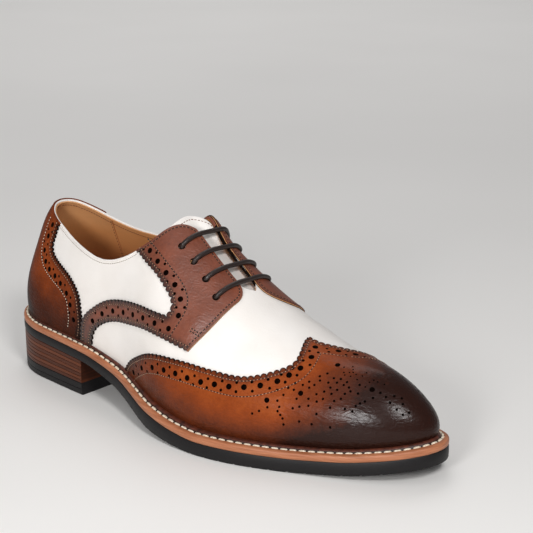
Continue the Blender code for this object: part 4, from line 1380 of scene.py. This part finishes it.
def tube(name, centres, across, out, half_width, half_height, closed=False):
    """A rounded cord or bead along a line of centres, wide across it and high along the outward way."""
    turn = np.linspace(0, 2 * np.pi, TUBE_CORNERS + 1)[:, None, None]
    points = centres + np.cos(turn) * half_width * across + np.sin(turn) * half_height * out
    piece = laid_grid(name, points)
    merge(piece, 0.005)
    if not closed:
        cap_ends(piece)
    soften(piece, 60)
    return piece


def bead(name, path, sizes, slot, leather, **marks):
    """A rounded edge of leather along a line on the last; sizes: half width, half height, height over it."""
    q, share = path
    half_width, half_height, height = sizes
    piece = tube(name, outside(q, share, np.full(len(q), height)), sideways(q, share), outward(q, share),
                 half_width, half_height)
    for title, value in marks.items():
        mark(piece, title, np.full(len(piece.data.vertices), value))
    finish(piece, (leather,))


def facing_edge(side, step):
    """The folded edge of a facing, from the collar round to the band."""
    return joined(opened(line(FACING_TOP[side], side, step)), line(FACING_FRONT[side], side, step))


SIDE_NAMES = {OUTER: "lateral", INNER: "medial"}


def make_edges():
    """White rim of the collar, folded edges of counter and facings with near-black lines of painted shadow
    under them, and the dark rand at the welt.
    """
    end, top = float(place_of(119.0)), float(place_of(COUNTER_EDGE[-1][0]))
    q = np.linspace(-end, end, 400)
    bead("white_collar_rim", even(q, collar_share(q) - 0.003, 1.2), (0.65, 0.75, -0.5), "white_leather",
         WHITE)
    q = np.linspace(-top, top, 200)
    bead("folded_counter_edge", even(q, collar_share(q) - 0.002, 1.2), (0.6, 0.75, 0.35), "brown_leather",
         COUNTER_BROWN, patina=0.3)
    for side, name in SIDE_NAMES.items():
        folded = shifted(facing_edge(side, 0.8), side * 0.45)
        crest, throat = (shifted(line(rows, side, 0.8), side * 0.2)
                         for rows in (FACING_TOP[side][2:], FACING_FRONT[side][:6]))
        bead("folded_edge_" + name, folded, (0.5, 0.36, 0.72), "brown_leather", FACING_BROWN, patina=0.2)
        bead("facing_lining_edge_" + name, shifted(folded, side * -0.32), (0.3, 0.18, 0.3), "tan_lining", TAN)
        # Near-black line under the folded edge: the facing's dark underside and painted shadow on the vamp
        bead("facing_shadow_line_" + name, shifted(folded, side * -0.34), (0.36, 0.24, -0.05), "brown_leather",
             RAW_EDGE_AND_SHADE)
        bead("facing_top_edge_" + name, crest, (0.5, 1.0, -1.05), "brown_leather", FACING_BROWN, patina=0.1)
        # Near-black strip over the white upper's edge in the throat: dark cut edge and painted shade of the
        # gap by the tongue
        bead("throat_shade_edge_" + name, throat, (0.5, 1.05, -1.15), "brown_leather", RAW_EDGE_AND_SHADE)
    q = np.linspace(-1, 1, 281)
    s = station_of(q)
    outer, inner = stitch_inset(s) + 1.0, INSET(s) + 0.4
    centres = np.stack([*edge_inset(q, (outer + inner) / 2), seat_height(s) + 0.1], -1)
    across = unit((np.stack([*edge_inset(q, inner), seat_height(s)], -1) - centres) * np.array([1, 1, 0]))
    piece = tube("dark_rand_leather", centres, across, np.array([0.0, 0.0, 1.0]),
                 ((inner - outer) / 2)[:, None], 0.75, closed=True)
    finish(piece, (RAND,))


# Heights of the lace over the last, inside the facings and on its bars, and how far a bar bows forwards
HIDDEN_LACE = -3.4
BAR_HEIGHT, BAR_BOW = 2.0, 2.4


def lace_points():
    """Corners of the one lace's way: four straight bars outside, runs between eyelets hidden inside."""
    eyelet = {(side, row): (side * float(place_of(s)), s, t)
              for side in (OUTER, INNER) for row, (s, t) in enumerate(EYELETS[side])}

    def at(q, share, height):
        return outside(np.array([q]), np.array([share]), np.array([height]))[0]

    def over(side, row):
        q, s, t = eyelet[side, row]
        front = np.interp(s, *zip(*FACING_FRONT[side][:6]))
        climb = [(0, t - 0.004, -0.7), (0, t - 0.002, 0.9), (0.1, t + 0.014, BAR_HEIGHT),
                 (0.2, t + 0.034, BAR_HEIGHT)]
        climb += [(k, t + (front - t) * k, BAR_HEIGHT) for k in (0.45, 0.7, 1.0)]
        return [at(side * float(place_of(s + BAR_BOW * k)), share, height) for k, share, height in climb]

    def bar(row, first):
        return over(first, row) + over(-first, row)[::-1]

    def hidden(side, first, final):
        (q0, _, t0), (q1, _, t1) = eyelet[side, first], eyelet[side, final]
        return [at(q0 + (q1 - q0) * k, t0 + (t1 - t0) * k - 0.02, HIDDEN_LACE)
                for k in (0.12, 0.35, 0.65, 0.88)]

    points = bar(1, INNER) + hidden(OUTER, 1, 3) + bar(3, OUTER)
    points += hidden(INNER, 3, 2) + bar(2, INNER) + hidden(OUTER, 2, 0) + bar(0, OUTER)
    return np.array(hidden(INNER, 0, 1)[1:] + points)


def make_lace():
    """The round waxed lace, its corners eased into curves."""
    corners = lace_points()
    along = lengths(corners)
    u = np.linspace(0, along[-1], int(along[-1] / 0.4))
    centres = np.stack([np.interp(u, along, column) for column in corners.T], -1)
    for _ in range(28):
        centres[1:-1] = (centres[:-2] + 2 * centres[1:-1] + centres[2:]) / 4
    tangent = unit(np.gradient(centres, axis=0))
    across = [unit(np.cross(tangent[0], np.array([0.1, 0.2, 1.0])))]
    for way in tangent[1:]:
        across.append(unit(across[-1] - way * np.dot(across[-1], way)))
    across = np.array(across)
    piece = tube("waxed_lace", centres, across, np.cross(tangent, across), LACE_RADIUS, LACE_RADIUS)
    finish(piece, (waxed_cord(float(lengths(centres)[-1])),),
           ("lace_bar_1", "lace_bar_2", "lace_bar_3", "lace_bar_4"))


def stitch_model():
    """Points and faces of one stitch: a small ball, one unit long and one unit across."""
    bpy.ops.object.select_all(action="DESELECT")
    bpy.ops.mesh.primitive_uv_sphere_add(segments=8, ring_count=5, radius=0.5)
    model = bpy.context.object
    points = np.array([vertex.co[:] for vertex in model.data.vertices])
    faces = [list(face.vertices) for face in model.data.polygons]
    mesh = model.data
    bpy.ops.object.delete()
    bpy.data.meshes.remove(mesh)
    x, y, z = points.T
    return np.stack([np.sign(z) * np.abs(z * 2) ** 0.6 / 2, y, x], 1), faces


STITCH_POINTS, STITCH_FACES = stitch_model()


def sew(name, rows, thread_material):
    """Rows of stitches joined in one mesh; a row is its centres, ways along and outwards, and a size."""
    points, faces, start = [], [], 0
    for centres, along, out, size in rows:
        across = np.cross(out, along)
        for c, a, n, o in zip(centres, along, across, out):
            shape = STITCH_POINTS * np.array(size)
            points.append(c + shape[:, :1] * a + shape[:, 1:2] * n + shape[:, 2:] * o)
            faces += [[start + i for i in face] for face in STITCH_FACES]
            start += len(STITCH_POINTS)
    piece = new_piece(name, np.concatenate(points), faces)
    merge(piece, 0.0005)
    soften(piece, 80)
    return finish(piece, (thread_material,))


def row_of(path, height, pitch, size, start=0.5):
    """A row of stitches along a line on the last, at a height over it."""
    q, share = path
    points, out = outside(q, share, height), outward(q, share)
    return spaced(points, out, pitch, size, start)


def spaced(points, out, pitch, size, start=0.5):
    """Stitches spaced along a line of points, the first a share of the pitch from its start."""
    along = lengths(points)
    at = (np.arange(int(along[-1] / pitch)) + start) * pitch
    at = at[at < along[-1]]
    tables = points, unit(np.gradient(points, axis=0)), out
    pick = [np.stack([np.interp(at, along, column) for column in table.T], 1) for table in tables]
    return pick[0], unit(pick[1]), unit(pick[2]), size


# Length, width and height of a stitch, and of the bit of thread that shows between two of them
OVERLAY_DASH, OVERLAY_BIT = (1.15, 0.62, 0.36), (0.7, 0.5, 0.4)
COUNTER_DASH, COUNTER_BIT = (1.05, 0.6, 0.36), (0.75, 0.5, 0.42)
FACING_DASH, FACING_BIT = (1.6, 0.78, 0.4), (0.4, 0.42, 0.3)
TACK_DASH, TACK_BIT = (1.2, 0.75, 0.45), (0.5, 0.5, 0.4)
WELT_STITCH, WELT_PITCH = (4.0, 1.7, 1.4), 5.0


def make_stitches():
    """All the seams: rows on the overlays, the collar, the tongue, the lining and the welt."""
    dark, light, cream, grey, tan = [], [], [], [], []

    def seam(path, bits, pitch, dash, bit):
        dark.append(row_of(path, OVERLAY_TOP - 0.02, pitch, dash))
        bits.append(row_of(path, OVERLAY_TOP + 0.06, pitch, bit, 1.0))

    def collar_row(side, first, final, count, distance):
        q = np.linspace(side * float(place_of(first)), side * float(place_of(final)), count)
        return shifted(even(q, collar_share(q), LINE_STEP), side * distance)

    for side, name in SIDE_NAMES.items():
        for path in inset_rows(wing_lines, side, EDGE_ROW) + inset_rows(wing_lines, side, INNER_ROW):
            seam(path, light, STITCH_PITCH, OVERLAY_DASH, OVERLAY_BIT)
        for distance, bits in ((EDGE_ROW, light), (COUNTER_ROW, cream)):
            path = shifted(counter_lines[side], -side * distance)
            seam(path, bits, STITCH_PITCH, COUNTER_DASH, COUNTER_BIT)
        for rows in (BAND_LOWER, BAND_UPPER, WINDOW_EDGE):
            path = shifted(line(rows, side), side * EDGE_ROW)
            seam(path, light, STITCH_PITCH, OVERLAY_DASH, OVERLAY_BIT)
        for path in (shifted(facing_edge(side, LINE_STEP), side * FACING_ROW), line(FACING_SEAM, side)):
            seam(path, light, FACING_PITCH, FACING_DASH, FACING_BIT)
        for offset in (-0.75, 0.75):
            seam(shifted(line(BAR_TACK, side), offset), light, 1.7, TACK_DASH, TACK_BIT)
        path = collar_row(side, 39.5, 117.0, 200, COLLAR_ROW)
        grey.append(row_of(path, UPPER_TOP + 0.03, 1.6, (1.4, 0.4, 0.3)))
        path = collar_row(side, 0.0, 134.0, 300, LINING_ROW)
        tan.append(row_of(path, LINING_UNDER - 0.05, 1.7, (1.5, 0.5, 0.35)))
        path = shifted(line(LINING_SEAM, side), side * 1.3)
        tan.append(row_of(path, LINING_UNDER - 0.05, 2.0, (1.3, 0.45, 0.3)))
        # The seam bead takes the lining's full painted shade
        bead("lining_seam_" + name, line(LINING_SEAM, side, 1.0), (0.3, 0.25, LINING_UNDER), "tan_lining",
             TAN, depth=1.0)
    q, share, points = tongue_place(np.linspace(-0.86, 0.80, 300), 2.9)
    tan.append(spaced(points, outward(q, share), STITCH_PITCH, (1.4, 0.5, 0.4)))
    sew("dark_stitches", dark, DARK_THREAD)
    sew("brown_stitches", light, BROWN_THREAD)
    sew("counter_stitches", cream, CREAM_THREAD)
    sew("collar_stitches", grey, GREY_THREAD)
    sew("lining_stitches", tan, TAN_THREAD)
    q = np.linspace(-1, 1, 1200)
    s = station_of(q)
    centres = np.stack([*edge_inset(q, stitch_inset(s)), seat_height(s) - 0.45], -1)
    up = np.broadcast_to(np.array([0, 0, 1.0]), centres.shape)
    total = lengths(centres)[-1]
    count = int(round(total / WELT_PITCH))
    sew("welt_stitches", [spaced(centres, up, total / (count + 1e-6), WELT_STITCH)], CREAM_THREAD)


overlays = (
    (make_wing_cap(), toe_plane),
    (make_facing(OUTER, "facing_lateral_calf", "facing_lateral"), wall_plane),
    (make_facing(INNER, "facing_medial_calf", "facing_medial"), wall_plane),
    (make_counter(), wall_plane),
)
make_upper(overlays)
make_lining()
make_tongue()
make_sock()
make_outsole()
make_heel()
make_welt()
make_edges()
make_lace()
make_stitches()


def make_floor():
    """A wide pale floor."""
    bpy.ops.object.select_all(action="DESELECT")
    bpy.ops.mesh.primitive_plane_add(size=20.0, location=(0, 0, 0))
    floor = bpy.context.object
    floor.name = "studio_floor"
    floor.data.materials.append(PALE_FLOOR)


make_floor()

# The camera stands where the photograph was taken from: millimetres, degrees and pixels of its frame
CAMERA_PLACE = (557.5, -564.96, 327.3)
CAMERA_AZIMUTH, CAMERA_ELEVATION, CAMERA_ROLL = 42.5, 17.0, -0.31
FOCAL_PIXELS, FRAME_PIXELS, SENSOR = 1500.0, 533.0, 36.0


def make_camera():
    """Camera at the photograph's angle."""
    a, e, r = np.radians([CAMERA_AZIMUTH, CAMERA_ELEVATION, CAMERA_ROLL])
    back = np.array([np.sin(a) * np.cos(e), -np.cos(a) * np.cos(e), np.sin(e)])
    right = np.array([np.cos(a), np.sin(a), 0])
    up = np.cross(back, right)
    right, up = right * np.cos(r) + up * np.sin(r), up * np.cos(r) - right * np.sin(r)
    data = bpy.data.cameras.new("camera")
    data.sensor_width = SENSOR
    data.lens = SENSOR * FOCAL_PIXELS / FRAME_PIXELS
    camera = bpy.data.objects.new("camera", data)
    bpy.context.scene.collection.objects.link(camera)
    camera.matrix_world = (Matrix.Translation(Vector(CAMERA_PLACE) * MM)
                           @ Matrix(np.stack([right, up, back], 1).tolist()).to_4x4())
    bpy.context.scene.camera = camera


make_camera()


def softbox(name, place, size, power, aim=(0.02, 0, 0.05), spread=180):
    """A soft lamp that looks at the middle of the shoe, or one with a grid that lights another place only."""
    data = bpy.data.lights.new(name, "AREA")
    data.shape = "RECTANGLE"
    data.size, data.size_y = size
    data.energy = power
    data.spread = np.radians(spread)
    lamp = bpy.data.objects.new(name, data)
    bpy.context.scene.collection.objects.link(lamp)
    place = Vector(place)
    look = Vector(aim) - place
    lamp.matrix_world = Matrix.Translation(place) @ look.to_track_quat("-Z", "Y").to_matrix().to_4x4()


softbox("key_softbox", (0.40, -1.03, 0.46), (0.27, 0.23), 6.5)
softbox("toe_softbox", (0.79, -0.43, 0.79), (0.22, 0.22), 5.4)
softbox("top_softbox", (-0.05, -0.5, 1.2), (1.0, 0.8), 1.2)
softbox("floor_softbox", (-1.3, 1.3, 2.2), (1.6, 1.6), 12.0, (-1.3, 1.3, 0), 120)

world = bpy.data.worlds.new("studio")
world.use_nodes = True
world.node_tree.nodes["Background"].inputs["Color"].default_value = linear("#e6e6e8")
world.node_tree.nodes["Background"].inputs["Strength"].default_value = 0.3
bpy.context.scene.world = world
bpy.context.scene.view_settings.view_transform = "Standard"
